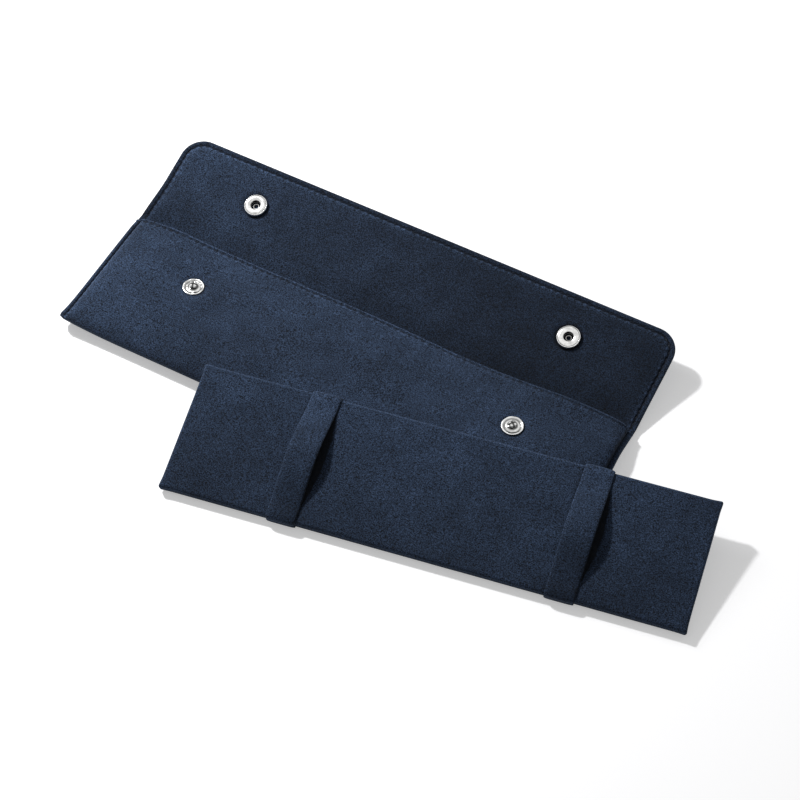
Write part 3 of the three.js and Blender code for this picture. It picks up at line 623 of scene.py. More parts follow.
def make_outer_cover():
    low = -(FOLD_Y + MOUTH_Y) + SEAM_R
    corners = (BODY_CORNER, BODY_CORNER, FLAP_CORNER, FLAP_CORNER)
    points, faces, (x, t) = rolled_sheet(low, corners, outer_height, -1, 280, 120, True)
    distance, along = flap_rim(x, t)
    distance = np.where(t < ARC, HALF - np.abs(x), distance)
    # Painted shade and highlights along its seams.
    return piece("outer_cover", settle(points), faces, "suede", None, "back_cover", "flap_cover",
                 press=press_of(distance, along, points[:, 0]), thick=0.3)


def make_flap_facing():
    corners = (1.0, 1.0, FLAP_CORNER, FLAP_CORNER)
    points, faces, (x, t) = rolled_sheet(-9.0, corners, facing_height, 1, 320, 70, False)
    # Inside the pocket the facing narrows into the seam and lies on the lining.
    points[:, 0] *= 1 - 0.024 * smooth((-0.4 - t) / 1.6)
    distance, along = flap_rim(x, t)
    # Painted shade: the facing darkens towards the right and near the fold, less on its border, with a
    # painted shade ring round each socket.
    to_right = 0.18 + 0.52 * smooth((x + HALF) / (1.7 * HALF))
    flap_falloff_shade = to_right * (1 - 0.8 * smooth((BORDER + 0.3 - distance) / 0.8)) + 0.14 * (1 - smooth(t / 16))
    socket_ring_shade = 0.75 * bump(from_snap(x, t - ARC, SOCKET_S) - 4.95, 0.5)
    return piece("flap_facing_cloth", settle(points), faces, "suede", None, "flap_facing",
                 press=flap_falloff_shade + socket_ring_shade + press_of(distance, along, x) * smooth((t + 1) / 3), thick=0.3)


def stud_slope(x, y):
    """The left stud leans a little towards the mouth, and the cloth round it with it."""
    away = (x + SNAP_X) * -0.47 + (y - MOUTH_Y + STUD_INSET) * 0.88
    return -math.tan(STUD_LEAN) * away


def panel_end(x):
    return BODY - corner_inset(x, HALF, BODY_CORNER)


def mouth_sag(x):
    """The mouth's edge isn't straight: it stands up towards both ends and dips where the pad leans."""
    return (1.15 * bump(x + 91, 12) + 1.3 * smooth((x - 62) / 22) - 1.8 * bump(x - 42, 24)
            + 0.12 * ripple(x, 0, 30, 5) + 0.08 * ripple(x, 3, 13, 6))


def panel_z(x, inset, rise, depth=0.0):
    """Height of the front panel, like part.mjs, with quilting and soft waves. rise is 0 at the sewn
    sides and 1 on the swell, and depth is measured into the panel."""
    end = panel_end(x)
    past = np.clip(inset - (end - SEAM_R), 0, SEAM_R - depth)
    flat = SEAM_R + np.sqrt(np.maximum((SEAM_R - depth) ** 2 - past ** 2, 0))
    climb = np.sin(np.pi / 2 * np.clip(inset / CREST_INSET, 0, 1))
    near = MOUTH - depth + (CREST - MOUTH) * climb
    reach = np.clip((inset - CREST_INSET) / (end - CREST_INSET - depth), 0, 1)
    full = 2 + 0.8 * (1 - smooth((x - 5) / 75))
    far = SEAM_R + (CREST - SEAM_R - depth) * (1 - reach ** full) ** (1 / full)
    swell = np.where(inset < CREST_INSET, near, far)
    hollow = dimple(x, inset, STUD_INSET, 4.6, 2.2)
    away = smooth(rise / 0.5) * smooth((end - inset) / 12) * (1 - hollow)
    wave = (0.26 * folds(x, inset, 38, 0) + 0.08 * ripple(x, inset, 9, 8)) * away
    mouth = mouth_sag(x) * np.exp(-inset / 9) * rise
    drawn = 0.35 * bump(from_snap(x, inset, STUD_INSET), 13) * (1 - hollow)
    slope = stud_slope(x, MOUTH_Y - inset) * dimple(x, inset, STUD_INSET, 5, 9)
    return flat + (swell - flat) * rise + wave + mouth - 0.7 * hollow - drawn + slope * (x < 0)


def panel_columns(depth=0.0, border=True):
    """x and rise of the panel's columns from left to right, with or without the borders outside
    the side seams. The right side stands up fuller than the left."""
    middle = np.linspace(0, SIDE_START, 136 if border else 84)
    angles = np.append(turn(0, 88.5, 44)[1:], np.radians([89.2, 89.8]))
    x = np.concatenate([middle, SIDE_START + (SWELL - depth) * np.sin(angles)])
    rise = np.concatenate([np.ones(len(middle)), np.cos(angles)])
    if border:
        beyond = [107.42, 107.55, 107.7, 107.85, 108.0, 108.2, 108.45]
        roll = HALF - 1.4 + 1.4 * np.sin(np.radians([0, 20, 40, 60, 75, 90]))
        x = np.concatenate([x, beyond, roll, [HALF, HALF - 0.55]])
        rise = np.append(rise, np.zeros(len(x) - len(rise)))
    return np.concatenate([-x[:0:-1], x]), np.concatenate([rise[:0:-1], rise ** RIGHT_FULL])


BORDER_KEEP = np.array([0.02, 0.10, 0.30, 0.55, 0.76, 0.90, 0.975, 1.0])


def border_keeps(count, start=0):
    """Share of the side border's half height kept over the roll, from the tucked seams inwards."""
    step = np.minimum(np.arange(count), np.arange(count)[::-1]) + start
    return BORDER_KEEP[np.minimum(step, len(BORDER_KEEP) - 1)]


def crispness(x, loss):
    """How crisp the mouth's stitching looks: fully at the left, less towards the right."""
    return 1 - loss * smooth((x + 10) / 90)


PANEL_ROWS = [0.9, 1.1, 1.25, 1.4, 1.6, 1.85, 2.2, 2.7, 3.5, 4.6, 5.7, *np.linspace(6.7, CREST_INSET, 22)]


def panel_column(x, rise, keep):
    """One column of the front panel, from the mouth round the bottom fold to a tucked edge: the inset
    of its upper points, and y and z of all."""
    end, side = panel_end(x), HALF - abs(x)
    inset = np.append(PANEL_ROWS, CREST_INSET + (end - CREST_INSET) * np.sin(turn(0, 90, 40)[1:]))
    hem_groove = 0.36 * (0.2 + 0.8 * pull_at(x)) * crispness(x, 0.5) * bump(inset - HEM_STITCH, 0.36)
    z = panel_z(x, inset, rise) - hem_groove
    if side < BORDER + 2.5:
        z = z + quilting(side, inset, 0.5) * smooth((end - inset) / 3)
    under = turn(0, 90, 9)[1:]
    uy = MOUTH_Y - (end - SEAM_R + SEAM_R * np.cos(under))
    uz = SEAM_R * (1 - np.sin(under))
    y = np.concatenate([MOUTH_Y - inset, uy, [uy[-1] + 0.12, uy[-1] - 0.05]])
    z = np.concatenate([z, uz, [uz[-1] + 0.12, uz[-1] + 0.35]])
    if side < BORDER:
        near_mouth = np.append(smooth((4.5 - inset) / 4.5), np.zeros(len(z) - len(inset)))
        keep = keep * (1 - 0.45 * near_mouth * smooth((BORDER - side) / 2))
    return inset, y, SEAM_R + (z - SEAM_R) * keep


def panel_press(x, inset, y):
    seam = press_of(np.full(len(y), HALF - abs(x)), y, x)
    # Painted shade ring round each stud.
    seam = seam + 0.6 * bump(from_snap(x, y, MOUTH_Y - STUD_INSET) - 4.4, 0.45)
    dash = pull_at(x)
    # Painted shade at the hem's stitches, painted highlights on the puffs between them, and painted shade
    # towards the bottom fold and on the cloth turned under it.
    hem = ((0.1 + 1.2 * dash) * crispness(x, 0.5) * bump(inset - HEM_STITCH, 0.36)
           - 0.7 * (1 - dash) * bump(inset - HEM_STITCH - 0.8, 0.5)
           + 0.4 * smooth((inset - panel_end(x) + 5) / 4.2))
    hem = np.append(hem, np.full(len(y) - len(inset), 0.5))
    return np.where(np.abs(hem) > np.abs(seam), hem, seam)


def make_front_panel():
    xs, rises = panel_columns()
    columns, press = [], []
    for x, rise, keep in zip(xs, rises, border_keeps(len(xs))):
        inset, y, z = panel_column(x, rise, keep)
        columns.append(xyz(x, y, z))
        press.append(panel_press(x, inset, y))
    faces = grid_faces(len(xs), len(y), flip=True)
    piece("front_panel", settle(columns), faces, "suede", "pocket", "front_cover",
          fill=0.7, press=press, thick=0.35)


def make_panel_layer(name, node, slot, depths):
    """An inner ply of the front panel: a thin closed shell between two depths."""
    shells = []
    for depth in depths:
        xs, rises = panel_columns(depth, False)
        columns = []
        for x, rise in zip(xs[::2], rises[::2]):
            curve = (panel_end(x) - CREST_INSET - depth) * np.sin(turn(0, 82, 16)[1:])
            inset = np.append(np.linspace(HEM + 0.3, CREST_INSET, 16), CREST_INSET + curve)
            columns.append(xyz(x, MOUTH_Y - inset, panel_z(x, inset, rise, depth)))
        shells.append(np.array(columns))
    loop = np.concatenate([shells[0], shells[1][:, ::-1]], axis=1)
    piece(name, settle(loop), flat_tube_faces(*loop.shape[:2]), slot, "pocket", node)


def make_mouth_hem():
    """The mouth's turned edge: a soft flattened roll that follows the panel's edge."""
    xs, rises = (values[1:-1] for values in panel_columns())
    keeps = border_keeps(len(xs), 1)
    low_end = 1 - 0.45 * smooth((np.abs(xs) - HALF + BORDER) / 2)
    centre = SEAM_R + (panel_z(xs, 0.6, rises) - SEAM_R) * keeps * low_end
    dx, dz = np.gradient(xs), np.gradient(centre)
    normals = np.stack([-dz, dx], -1) / np.hypot(dx, dz)[:, None]
    angles = turn(0, 360, 21)[:-1]
    c, s = np.cos(angles), np.sin(angles)
    columns, press = [], []
    for x, z, keep, (nx, nz) in zip(xs, centre, keeps, normals):
        pull, crisp = pull_at(x), crispness(x, 0.4)
        half_w = 0.62 * (1 + 0.10 * ripple(x, 0, 6, 15))
        half_t = HEM_THICK / 2 * (1 if keep > 0.9 else keep * 0.9 + 0.1)
        y = MOUTH_Y - 0.58 + half_w * flattened(c, 0.75) + 0.10 * ripple(x, 9, 18, 16)
        n = -half_t + 0.16 + half_t * flattened(s, 0.75) - 0.08 * pull * np.maximum(-c, 0)
        columns.append(xyz(x + nx * n, y, z + nz * n))
        # Painted highlight on the roll's upper back, and painted shade on its front with darker dashes at the
        # stitches.
        roll_highlight = 1.1 * np.clip(c + 0.3, 0, 1) * (s > -0.2) * crisp
        press.append((0.3 + 0.5 * pull * crisp) * np.maximum(-c, 0) - roll_highlight)
    piece("mouth_hem_roll", settle(columns), tube_faces(len(xs), 20), "suede", "pocket", "mouth_hem",
          press=press)


def slab(name, node, slot, body, low, high, radii, bottom, top, mapping, nx=110, ny=40):
    """A thin closed layer with rounded edges, between two heights, put in place by mapping(x, y, z)."""
    edge = 0.15
    sheet = RoundedSheet(low, high, radii, nx, ny, [edge, 1.2], 5)
    total, size = len(sheet.flat), sheet.size
    outer = sheet.ring(0.0)
    levels = ((sheet.flat, top), (sheet.flat, bottom), (outer, top - edge), (outer, bottom + edge))
    points = [mapping(*outline.T, height) for outline, height in levels]
    faces = sheet.faces + [tuple(i + total for i in face)[::-1] for face in sheet.faces]
    for i in range(size):
        j = (i + 1) % size
        a, b = 2 * total + i, 2 * total + j
        faces += [(a, b, j, i), (a + size, b + size, b, a), (total + i, total + j, b + size, a + size)]
    piece(name, np.vstack(points), faces, slot, body, node)


def make_back_layers():
    def in_pocket(x, y, z):
        return settle(xyz(x, y, z))
    side = HALF - BORDER - 0.3
    for name, node, slot, end, bottom, top in (
            ("back_wadding", "back_padding", "padding", FOLD_Y - 0.4, 0.62, 0.98),
            ("back_lining_cloth", "back_lining", "lining", FOLD_Y - 2.5, 1.1, 1.36)):
        slab(name, node, slot, "pocket", (-side, -MOUTH_Y + 1.9), (side, end),
             (BODY_CORNER, BODY_CORNER, 1, 1), bottom, top, in_pocket)


def flap_edge(start):
    """Points (x, t) along the flap's free edges, each with the way inwards."""
    straight, centre = T_END - FLAP_CORNER, HALF - FLAP_CORNER
    left = [(-HALF, t, 1.0, 0.0) for t in np.linspace(start, straight, 24)]
    for a in turn(180, 90, 12)[1:-1]:
        c, s = math.cos(a), math.sin(a)
        left.append((-centre + FLAP_CORNER * c, straight + FLAP_CORNER * s, -c, -s))
    top = [(x, T_END, 0.0, -1.0) for x in np.linspace(-centre, centre, 120)]
    right = [(-x, t, -nx, nt) for x, t, nx, nt in left[-2::-1]]
    return left + top + right


def make_flap_layers():
    def on_flap(x, t, n):
        return settle(unroll(x, t, n))
    start = ARC + 0.3
    inset = BORDER + 0.15
    slab("flap_wadding", "flap_padding", "padding", "flap", (-HALF + inset, start),
         (HALF - inset, T_END - inset), (1, 1, 7, 7), -FOLD_R - 1.1, -FOLD_R - 0.62, on_flap)
    section = [(0.25, 0.0), (0.25, 0.4), (BORDER - 0.3, 0.4), (BORDER - 0.3, 0.0)]
    columns = [[unroll(x + nx * d, t + nt * d, -FOLD_R - 1.02 + h) for d, h in section]
               for x, t, nx, nt in flap_edge(start)]
    piece("flap_turned_edge", settle(columns), tube_faces(len(columns), 4), "suede_edge", "flap",
          "flap_seam_allowance")


def make_side_allowance(side, label):
    angles = turn(0, 360, 13)[:-1]
    across, up = 0.85 * flattened(np.cos(angles), 0.6), 0.85 * flattened(np.sin(angles), 0.6)
    x = side * (HALF - 1.45 + across)
    columns = [xyz(x, y, SEAM_R + up + 0.05 * ripple(y, x, 5, 2))
               for y in np.linspace(MOUTH_Y - 1.2, -MOUTH_Y + BODY_CORNER + 2, 40)]
    piece(f"seam_allowance_cloth_{label}", settle(columns), tube_faces(40, 12, side > 0), "suede_edge",
          "pocket", f"seam_allowance_{label}")


# Stitches

def make_bead():
    """One stitch: a short bowed bead whose ends dive into the cloth. Along X, up Z."""
    columns = []
    for s in np.linspace(-1, 1, 9):
        r = THREAD_R * math.sqrt(max(1 - s ** 6, 0.04))
        height = 0.16 * (1 - s * s) - 0.02
        angles = turn(0, 360, 9)[:-1]
        columns.append(xyz(s * STITCH_LENGTH / 2, r * np.cos(angles), height + r * np.sin(angles)))
    return np.concatenate(columns), tube_faces(9, 8)


BEAD, BEAD_FACES = make_bead()


def stitch(place, direction, normal):
    d = direction / np.linalg.norm(direction)
    n = normal - d * np.dot(normal, d)
    n = n / np.linalg.norm(n)
    return place + BEAD @ np.array([d, np.cross(n, d), n])


def flap_line(length):
    """x and t at a length along the right half of the flap's stitch line, from the fold."""
    straight = T_END - FLAP_CORNER
    radius = FLAP_CORNER - BORDER
    corner_end = straight + radius * math.pi / 2
    if length < straight:
        return HALF - BORDER, length
    if length < corner_end:
        a = (length - straight) / radius
        return HALF - FLAP_CORNER + radius * math.cos(a), straight + radius * math.sin(a)
    return HALF - FLAP_CORNER - (length - corner_end), T_END - BORDER


def flap_stitches():
    """Stitches on both faces of the flap."""
    total = T_END - FLAP_CORNER + (FLAP_CORNER - BORDER) * math.pi / 2 + HALF - FLAP_CORNER
    beads = []
    for k in range(1, int(total / STITCH) + 1):
        ends = [flap_line(min(k * STITCH + shift, total - 0.01)) for shift in (-0.7, 0, 0.7)]
        x, t = ends[1]
        for mirror in (-1, 1):
            for height, up in ((facing_height, 1), (outer_height, -1)):
                first, middle, last = (unroll(mirror * u, v, height(mirror * u, v)) for u, v in ends)
                above = unroll(mirror * x, t, height(x, t) + up)
                beads.append(stitch(middle, last - first, above - middle))
    return beads


def pocket_stitches():
    """Stitches down the pocket's two sides, front and back, and along its mouth."""
    beads = []
    for side in (-1, 1):
        for k in range(1, int((BODY - 4) / STITCH)):
            y = MOUTH_Y - k * STITCH
            before, z, after = (panel_z(STITCH_X + 0.02, k * STITCH + shift, 0.0) for shift in (-0.5, 0, 0.5))
            beads.append(stitch(np.array([side * (STITCH_X + 0.05), y, z - 0.42]),
                                np.array([0, -1.0, after - before]), np.array([side * 0.35, 0, 1.0])))
            beads.append(stitch(np.array([side * STITCH_X, y, 0.28]), np.array([0, 1.0, 0]),
                                np.array([0, 0, -1.0])))
    reach = int((STITCH_X - 1.5) / STITCH)
    for k in range(-reach, reach + 1):
        ends = []
        for x in (k * STITCH - 0.5, k * STITCH, k * STITCH + 0.5):
            past = max(abs(x) - SIDE_START, 0) / SWELL
            rise = math.sqrt(1 - past ** 2) ** (RIGHT_FULL if x > 0 else 1)
            ends.append(np.array([x, MOUTH_Y - HEM_STITCH, panel_z(x, HEM_STITCH, rise) - 0.34]))
        direction = ends[2] - ends[0]
        beads.append(stitch(ends[1], direction, np.array([-direction[2], 0, direction[0]])))
    return beads


def make_stitching(name, beads, body):
    faces = [tuple(i + k * len(BEAD) for i in face) for k in range(len(beads)) for face in BEAD_FACES]
    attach(mesh_object(name, settle(beads), faces, THREAD), body)


# Snaps

# Profiles are corners of (radius, height, rounding), and places of painted shade and painted dark reflections
# (radius, height, reach, darkness).
STUD = [(0.9, 0.0, 0), (4.05, 0.0, 0.2), (4.3, 0.22, 0.2), (4.26, 0.62, 0.25), (3.8, 0.72, 0.25),
        (3.4, 0.34, 0.4), (2.9, 0.26, 0.3), (2.35, 0.34, 0.3), (1.95, 0.62, 0.25), (1.2, 0.78, 0.2),
        (1.22, 1.0, 0.15), (1.66, 1.4, 0.3), (1.56, 2.05, 0.4), (0.9, 2.5, 0.3), (0.6, 2.36, 0.15),
        (0.5, 1.9, 0.2), (0.001, 1.85, 0)]
# Painted shade under the head, in its hole and dish and round the flange's foot, with painted dark
# reflections.
STUD_DARK = [(1.2, 0.9, 0.6, 0.97), (0.2, 1.9, 0.75, 0.97), (3.2, 0.28, 0.5, 0.78),
             (1.75, 0.7, 0.5, 0.95), (4.3, 0.1, 0.3, 0.6)]
EYELET_TOP = PANEL_THICK + PLY_GAP
EYELET = [(0.001, -0.4, 0), (3.4, -0.4, 0.2), (3.6, -0.2, 0.15), (3.4, 0.0, 0.15), (1.3, 0.0, 0.1),
          (1.3, EYELET_TOP - 0.1, 0.1), (0.48, EYELET_TOP - 0.1, 0.1), (0.45, EYELET_TOP + 1.4, 0.2),
          (0.001, EYELET_TOP + 1.4, 0)]
SOCKET = [(1.9, 0.0, 0), (4.5, 0.0, 0.2), (4.8, 0.35, 0.3), (4.8, 1.2, 0.35), (4.62, 1.74, 0.3),
          (4.3, 1.96, 0.1), (4.18, 1.82, 0.06), (4.06, 1.96, 0.1), (3.5, 2.2, 0.6), (2.5, 2.12, 0.4),
          (1.98, 1.85, 0.3), (1.92, 1.45, 0.1), (3.1, 1.35, 0.1), (3.3, 1.2, 0.1), (3.3, 0.7, 0.1),
          (2.5, 0.36, 0.15), (1.9, SOCKET_FLOOR, 0.1), (1.9, 0.0, 0)]
# Painted shade in the socket's groove, under its lip, in its well and on its outer wall.
SOCKET_DARK = [(4.18, 1.85, 0.16, 0.85), (4.75, 0.8, 0.5, 0.45), (1.9, 1.3, 0.45, 0.93),
               (3.2, 1.0, 0.6, 0.95), (2.2, 0.35, 0.9, 0.95)]
POST = FLAP_THICK + PLY_GAP + SOCKET_FLOOR
CAP = [(4.9, -0.3, 0), (5.0, -0.15, 0.1), (4.7, 0.0, 0.1), (1.3, 0.0, 0.1), (1.3, POST, 0.12),
       (0.9, POST, 0.1), (0.7, POST - 0.6, 0.1), (0.001, POST - 0.6, 0)]
# Painted shade in the post's hole, on its top and round the cap's rim.
CAP_DARK = [(0.3, POST - 0.5, 0.7, 0.95), (1.2, POST - 0.2, 0.6, 0.85), (5.0, -0.1, 0.25, 0.5)]


def lathe(profile, segments, wobble=None):
    """A turned form as points and faces. wobble(radius, height, angle) may shift the radius and height."""
    points = []
    for a in 2 * math.pi * np.arange(segments) / segments:
        for r, h in profile:
            if wobble:
                r, h = wobble(r, h, a)
            points.append((r * math.cos(a), r * math.sin(a), h))
    return np.array(points), grid_faces(segments, len(profile), closed_columns=True)


def rounded_profile(corners, steps=4):
    """A profile through corners (radius, height, rounding), each corner turned with that radius."""
    out = []
    for i, (r, h, rounding) in enumerate(corners):
        if rounding <= 0:
            out.append((r, h))
            continue
        p = np.array([r, h])
        a = np.array(corners[i - 1][:2]) - p
        b = np.array(corners[i + 1][:2]) - p
        la, lb = np.linalg.norm(a), np.linalg.norm(b)
        reach = min(rounding, la * 0.49, lb * 0.49)
        start, end = p + a / la * reach, p + b / lb * reach
        for t in np.linspace(0, 1, steps + 1):
            q = start * (1 - t) ** 2 + 2 * p * t * (1 - t) + end * t * t
            out.append((max(float(q[0]), 1e-4), float(q[1])))
    return out


def recess_of(points, rules):
    """Painted shade and painted dark reflections of each point of a turned piece, from its dark places."""
    radius = np.hypot(points[:, 0], points[:, 1])
    dark = np.zeros(len(points))
    for r, h, reach, amount in rules:
        dark = np.maximum(dark, amount * bump(np.hypot(radius - r, (points[:, 2] - h) * 0.8), reach))
    return dark


def put(points, matrix):
    return points @ matrix[:3, :3].T + matrix[:3, 3]


def stud_matrix(x, below=0.0):
    """Place of a stud on the front panel. The left one leans with the cloth."""
    matrix = np.eye(4)
    base = MOUTH + (CREST - MOUTH) * math.sin(math.pi / 2 * STUD_INSET / CREST_INSET) - 0.7
    if x < 0:
        matrix = np.array(Matrix.Rotation(STUD_LEAN, 4, Vector((-0.88, -0.47, 0))))
    matrix[:3, 3] = (x, MOUTH_Y - STUD_INSET, base + (-0.05 if x < 0 else 0.12) - below)
    return matrix


def flap_matrix(x, n):
    """Place on the flap's axis of the snaps, n over the fold axis and square to the cloth."""
    c, s = math.cos(RISE), math.sin(RISE)
    matrix = np.eye(4)
    matrix[:3, :3] = [[1, 0, 0], [0, c, -s], [0, s, c]]
    matrix[:3, 3] = (x, FOLD_Y + SOCKET_S * c - n * s, FOLD_Z + SOCKET_S * s + n * c)
    return matrix


def slot_of(radius, angle, start):
    """Depth of the four cuts in a stud's head, which widen outwards like leaves."""
    aside = (angle - start + math.pi / 4) % (math.pi / 2) - math.pi / 4
    return smooth(1.35 - np.abs(np.sin(aside)) * radius / (0.18 + 0.24 * radius))


def make_stud(label, x):
    start = 0.35 if label == "left" else 0.9

    def crimp(r, h, a):
        # The flange is rolled over unevenly where the tool has squeezed it.
        share = smooth((r - 2.1) / 1.2)
        wave = 0.045 * math.cos(8 * a + 0.7) + 0.02 * math.cos(3 * a + 2)
        cut = slot_of(r, a, start) * smooth((h - 0.9) / 0.3) * smooth((r - 0.3) / 0.4)
        waved = r * (1 + 0.006 * math.cos(8 * a) * share)
        return waved - 0.22 * cut, h + wave * share * (h > 0.2) - 0.25 * cut
    points, faces = lathe(rounded_profile(STUD, 5), 96, crimp)
    radius, angle = np.hypot(points[:, 0], points[:, 1]), np.arctan2(points[:, 1], points[:, 0])
    head = (points[:, 2] > 1.0) & (radius < 1.9)
    # Painted shade in the cuts of the head, standing in for their dark reflections.
    cuts = 0.95 * head * slot_of(radius, angle, start) * smooth((radius - 0.2) / 0.3)
    piece(f"snap_stud_{label}", put(points, stud_matrix(x)), faces, "chrome", "pocket", f"stud_{label}",
          press=np.maximum(recess_of(points, STUD_DARK), cuts), sharp=50)


def make_eyelet(label, x):
    points, faces = lathe(rounded_profile(EYELET), 64)
    points = put(points, stud_matrix(x, PLY_GAP + EYELET_TOP))
    piece(f"snap_eyelet_{label}", points, faces, "chrome", "pocket", f"stud_eyelet_{label}", sharp=50)


def make_socket(label, x):
    def spun(r, h, a):
        return r, h + 0.012 * math.cos(5 * a + 1) * (h > 1.5)
    points, faces = lathe(rounded_profile(SOCKET), 96, spun)
    piece(f"snap_socket_shell_{label}", put(points, flap_matrix(x, -FOLD_R + PLY_GAP)), faces, "chrome",
          "flap", f"snap_socket_{label}", press=recess_of(points, SOCKET_DARK), sharp=40)


def make_spring(label, x):
    """A bowed wire in the socket's groove: its two legs pass either side of the stud."""
    bow, reach, wire = 2.9, 2.2, 0.25
    leg = math.sqrt(bow * bow - reach * reach)
    start = math.atan2(leg, reach)
    down_leg = np.linspace(-0.95 * leg, leg, 12)[:-1]
    route = [(reach, y) for y in down_leg]
    route += [(bow * math.cos(a), bow * math.sin(a)) for a in np.linspace(start, math.pi - start, 24)]
    route += [(-reach, y) for y in down_leg[::-1]]
    tangents = np.gradient(np.array(route), axis=0)
    tangents /= np.linalg.norm(tangents, axis=1)[:, None]
    radii = np.full(len(route), wire)
    radii[[0, -1]] *= 0.55
    radii[[1, -2]] *= 0.9
    angles = turn(0, 360, 13)[:-1]
    columns = [xyz(px - dy * r * np.cos(angles), py + dx * r * np.cos(angles), r * np.sin(angles))
               for (px, py), (dx, dy), r in zip(route, tangents, radii)]
    matrix = flap_matrix(x, -FOLD_R + PLY_GAP + SOCKET_FLOOR + 0.75)
    piece(f"socket_spring_wire_{label}", put(np.concatenate(columns), matrix), tube_faces(len(route), 12),
          "spring_steel", "flap", f"socket_spring_{label}")


def make_cap(label, x):
    dome = [(max(4.85 * math.sin(a), 0.001), -0.25 - 0.65 * math.cos(a)) for a in turn(0, 82, 16)]
    points, faces = lathe(dome + rounded_profile(CAP), 96)
    matrix = flap_matrix(x, -FOLD_R - FLAP_THICK - PLY_GAP)
    piece(f"snap_cap_dome_{label}", put(points, matrix), faces, "chrome", "flap", f"snap_cap_{label}",
          press=recess_of(points, CAP_DARK), sharp=50)


# Display pad

def pad_place(x, y, n):
    """From the pad's own frame (along, across, up) to the row frame."""
    x, y, n = np.broadcast_arrays(np.asarray(x, float), y, n)
    y, n = y + PAD_DROP, n + PAD_DROP
    across = y * math.cos(PAD_LEAN) - n * math.sin(PAD_LEAN)
    return xyz(PAD_X + x * math.cos(PAD_TURN) - across * math.sin(PAD_TURN),
               PAD_Y + x * math.sin(PAD_TURN) + across * math.cos(PAD_TURN),
               y * math.sin(PAD_LEAN) + n * math.cos(PAD_LEAN))


def pad_height(x, y):
    to_side = np.minimum(y, PAD[1] - y)
    distance = np.minimum(np.minimum(x, PAD[0] - x), to_side)
    crown = PAD_CROWN * np.sin(np.pi / 2 * np.clip(distance / 22, 0, 1))
    wave = (0.10 * folds(x, y, 42, 14) + 0.035 * ripple(x, y, 8, 17)) * smooth(distance / 7)
    straps = bump(np.abs(x - 47), 6.5) + bump(np.abs(x - PAD[0] + 47), 6.5)
    return PAD_EDGE + crown + wave - 0.25 * straps * bump(to_side, 3.5)


def corner_ears(points):
    """The cover's folded corners stand out a little as points."""
    for u, v in ((0, 0), (PAD[0], 0), PAD, (0, PAD[1])):
        tip = pad_place(u, v, 2.6)
        inward = pad_place(abs(u - 10), abs(v - 10), 2.6) - tip
        near = bump(np.linalg.norm(points - tip, axis=1), 2.6)
        points = points - near[:, None] * inward / np.linalg.norm(inward) * 0.45
    return points


def pad_press(x, y, distance):
    """Painted light on the pad: painted highlights along its rims, a tone darker towards the near edge, and
    painted strap shadows beneath and beside its straps.
    """
    off_near_rim = smooth(np.maximum(y / 52, 1 - x / 3))
    # Painted highlights along the rims, except along the near edge.
    press = 0.30 - 0.36 * y / PAD[1] - 0.55 * bump(distance - 0.9, 1.5) * off_near_rim
    across = np.clip(y / PAD[1], 0, 1)
    for near, far, drawn in STRAPS:
        middle = near + (far - near) * across
        left = middle - STRAP_WIDTH / 2 + (drawn - 0.3) * np.sin(math.pi * across) ** 2 - 0.25
        # Painted strap shadow: dark under the strap and in the wedge beside its right edge, with painted
        # shade along its left edge.
        right = left + STRAP_WIDTH + 3.6 * np.sin(math.pi * across) ** 1.3
        under = 2.3 * smooth((x - left) / 3) * smooth((right - x) / 1.1) * smooth(distance / 4)
        strip = np.maximum(np.maximum(press, 0.7 * bump(x - left, 0.5)), under)
        press = np.where(distance > 0.8, strip, press)
    return press


# Rings of the cover's turned-down side: inset from the edge, height and painted shade
PAD_SIDE = ((1.0, 0.30, 0.7), (0.75, 0.02, 0.75), (0.35, 0.03, 0.85), (0.1, 0.2, 0.85), (0.0, 0.5, 0.75),
            (-0.02, 1.1, 0.6), (0.0, 1.9, 0.35))


def make_pad_cushion():
    insets = [0.0, 0.08, 0.2, 0.36, 0.56, 0.8, 1.1, 1.5, 2.0, 2.8, 3.8]
    sheet = RoundedSheet((0, 0), PAD, (0.8, 0.8, 0.8, 0.8), 230, 66, insets, 5)
    x, y = sheet.flat.T
    distance = np.full(len(x), 9.0)
    distance[:len(insets) * sheet.size] = np.repeat(insets, sheet.size)
    edge = np.clip(1 - distance, 0, 1)
    top = pad_height(x, y) - (1 - np.sqrt(np.maximum(1 - edge ** 2, 0)))
    points = [pad_place(x, y, top)]
    press = [pad_press(x, y, distance)]
    base = sheet.rings[0]
    inward = sheet.ring(1.0) - base
    slack = 0.07 * folds(base[:, 0], base[:, 1], 16, 18)
    for inset, height, dark in PAD_SIDE:
        swell = slack * math.sin(math.pi * height / 3)
        place = base + inward * (inset - swell)[:, None]
        points.append(pad_place(place[:, 0], place[:, 1], height))
        # Painted shade on the turned-down side.
        press.append(np.full(sheet.size, dark))
    faces = sheet.faces + sheet.rim_faces(len(PAD_SIDE))
    piece("display_pad_cushion", corner_ears(np.vstack(points)), faces, "suede", "display_pad",
          "pad_cover", fill=0.55, press=np.concatenate(press), thick=0.4)


def make_pad_layers():
    margin = 0.7
    for name, node, slot, bottom, top in (
            ("pad_foam_layer", "pad_foam", "padding", 1.86, 2.95),
            ("pad_board_sheet", "pad_board", "board", 0.52, 1.7),
            ("pad_backing_cloth", "pad_backing", "suede_edge", 0.02, 0.4)):
        slab(name, node, slot, "display_pad", (margin, margin), (PAD[0] - margin, PAD[1] - margin),
             (1.6, 1.6, 1.6, 1.6), bottom, top, pad_place, nx=120)


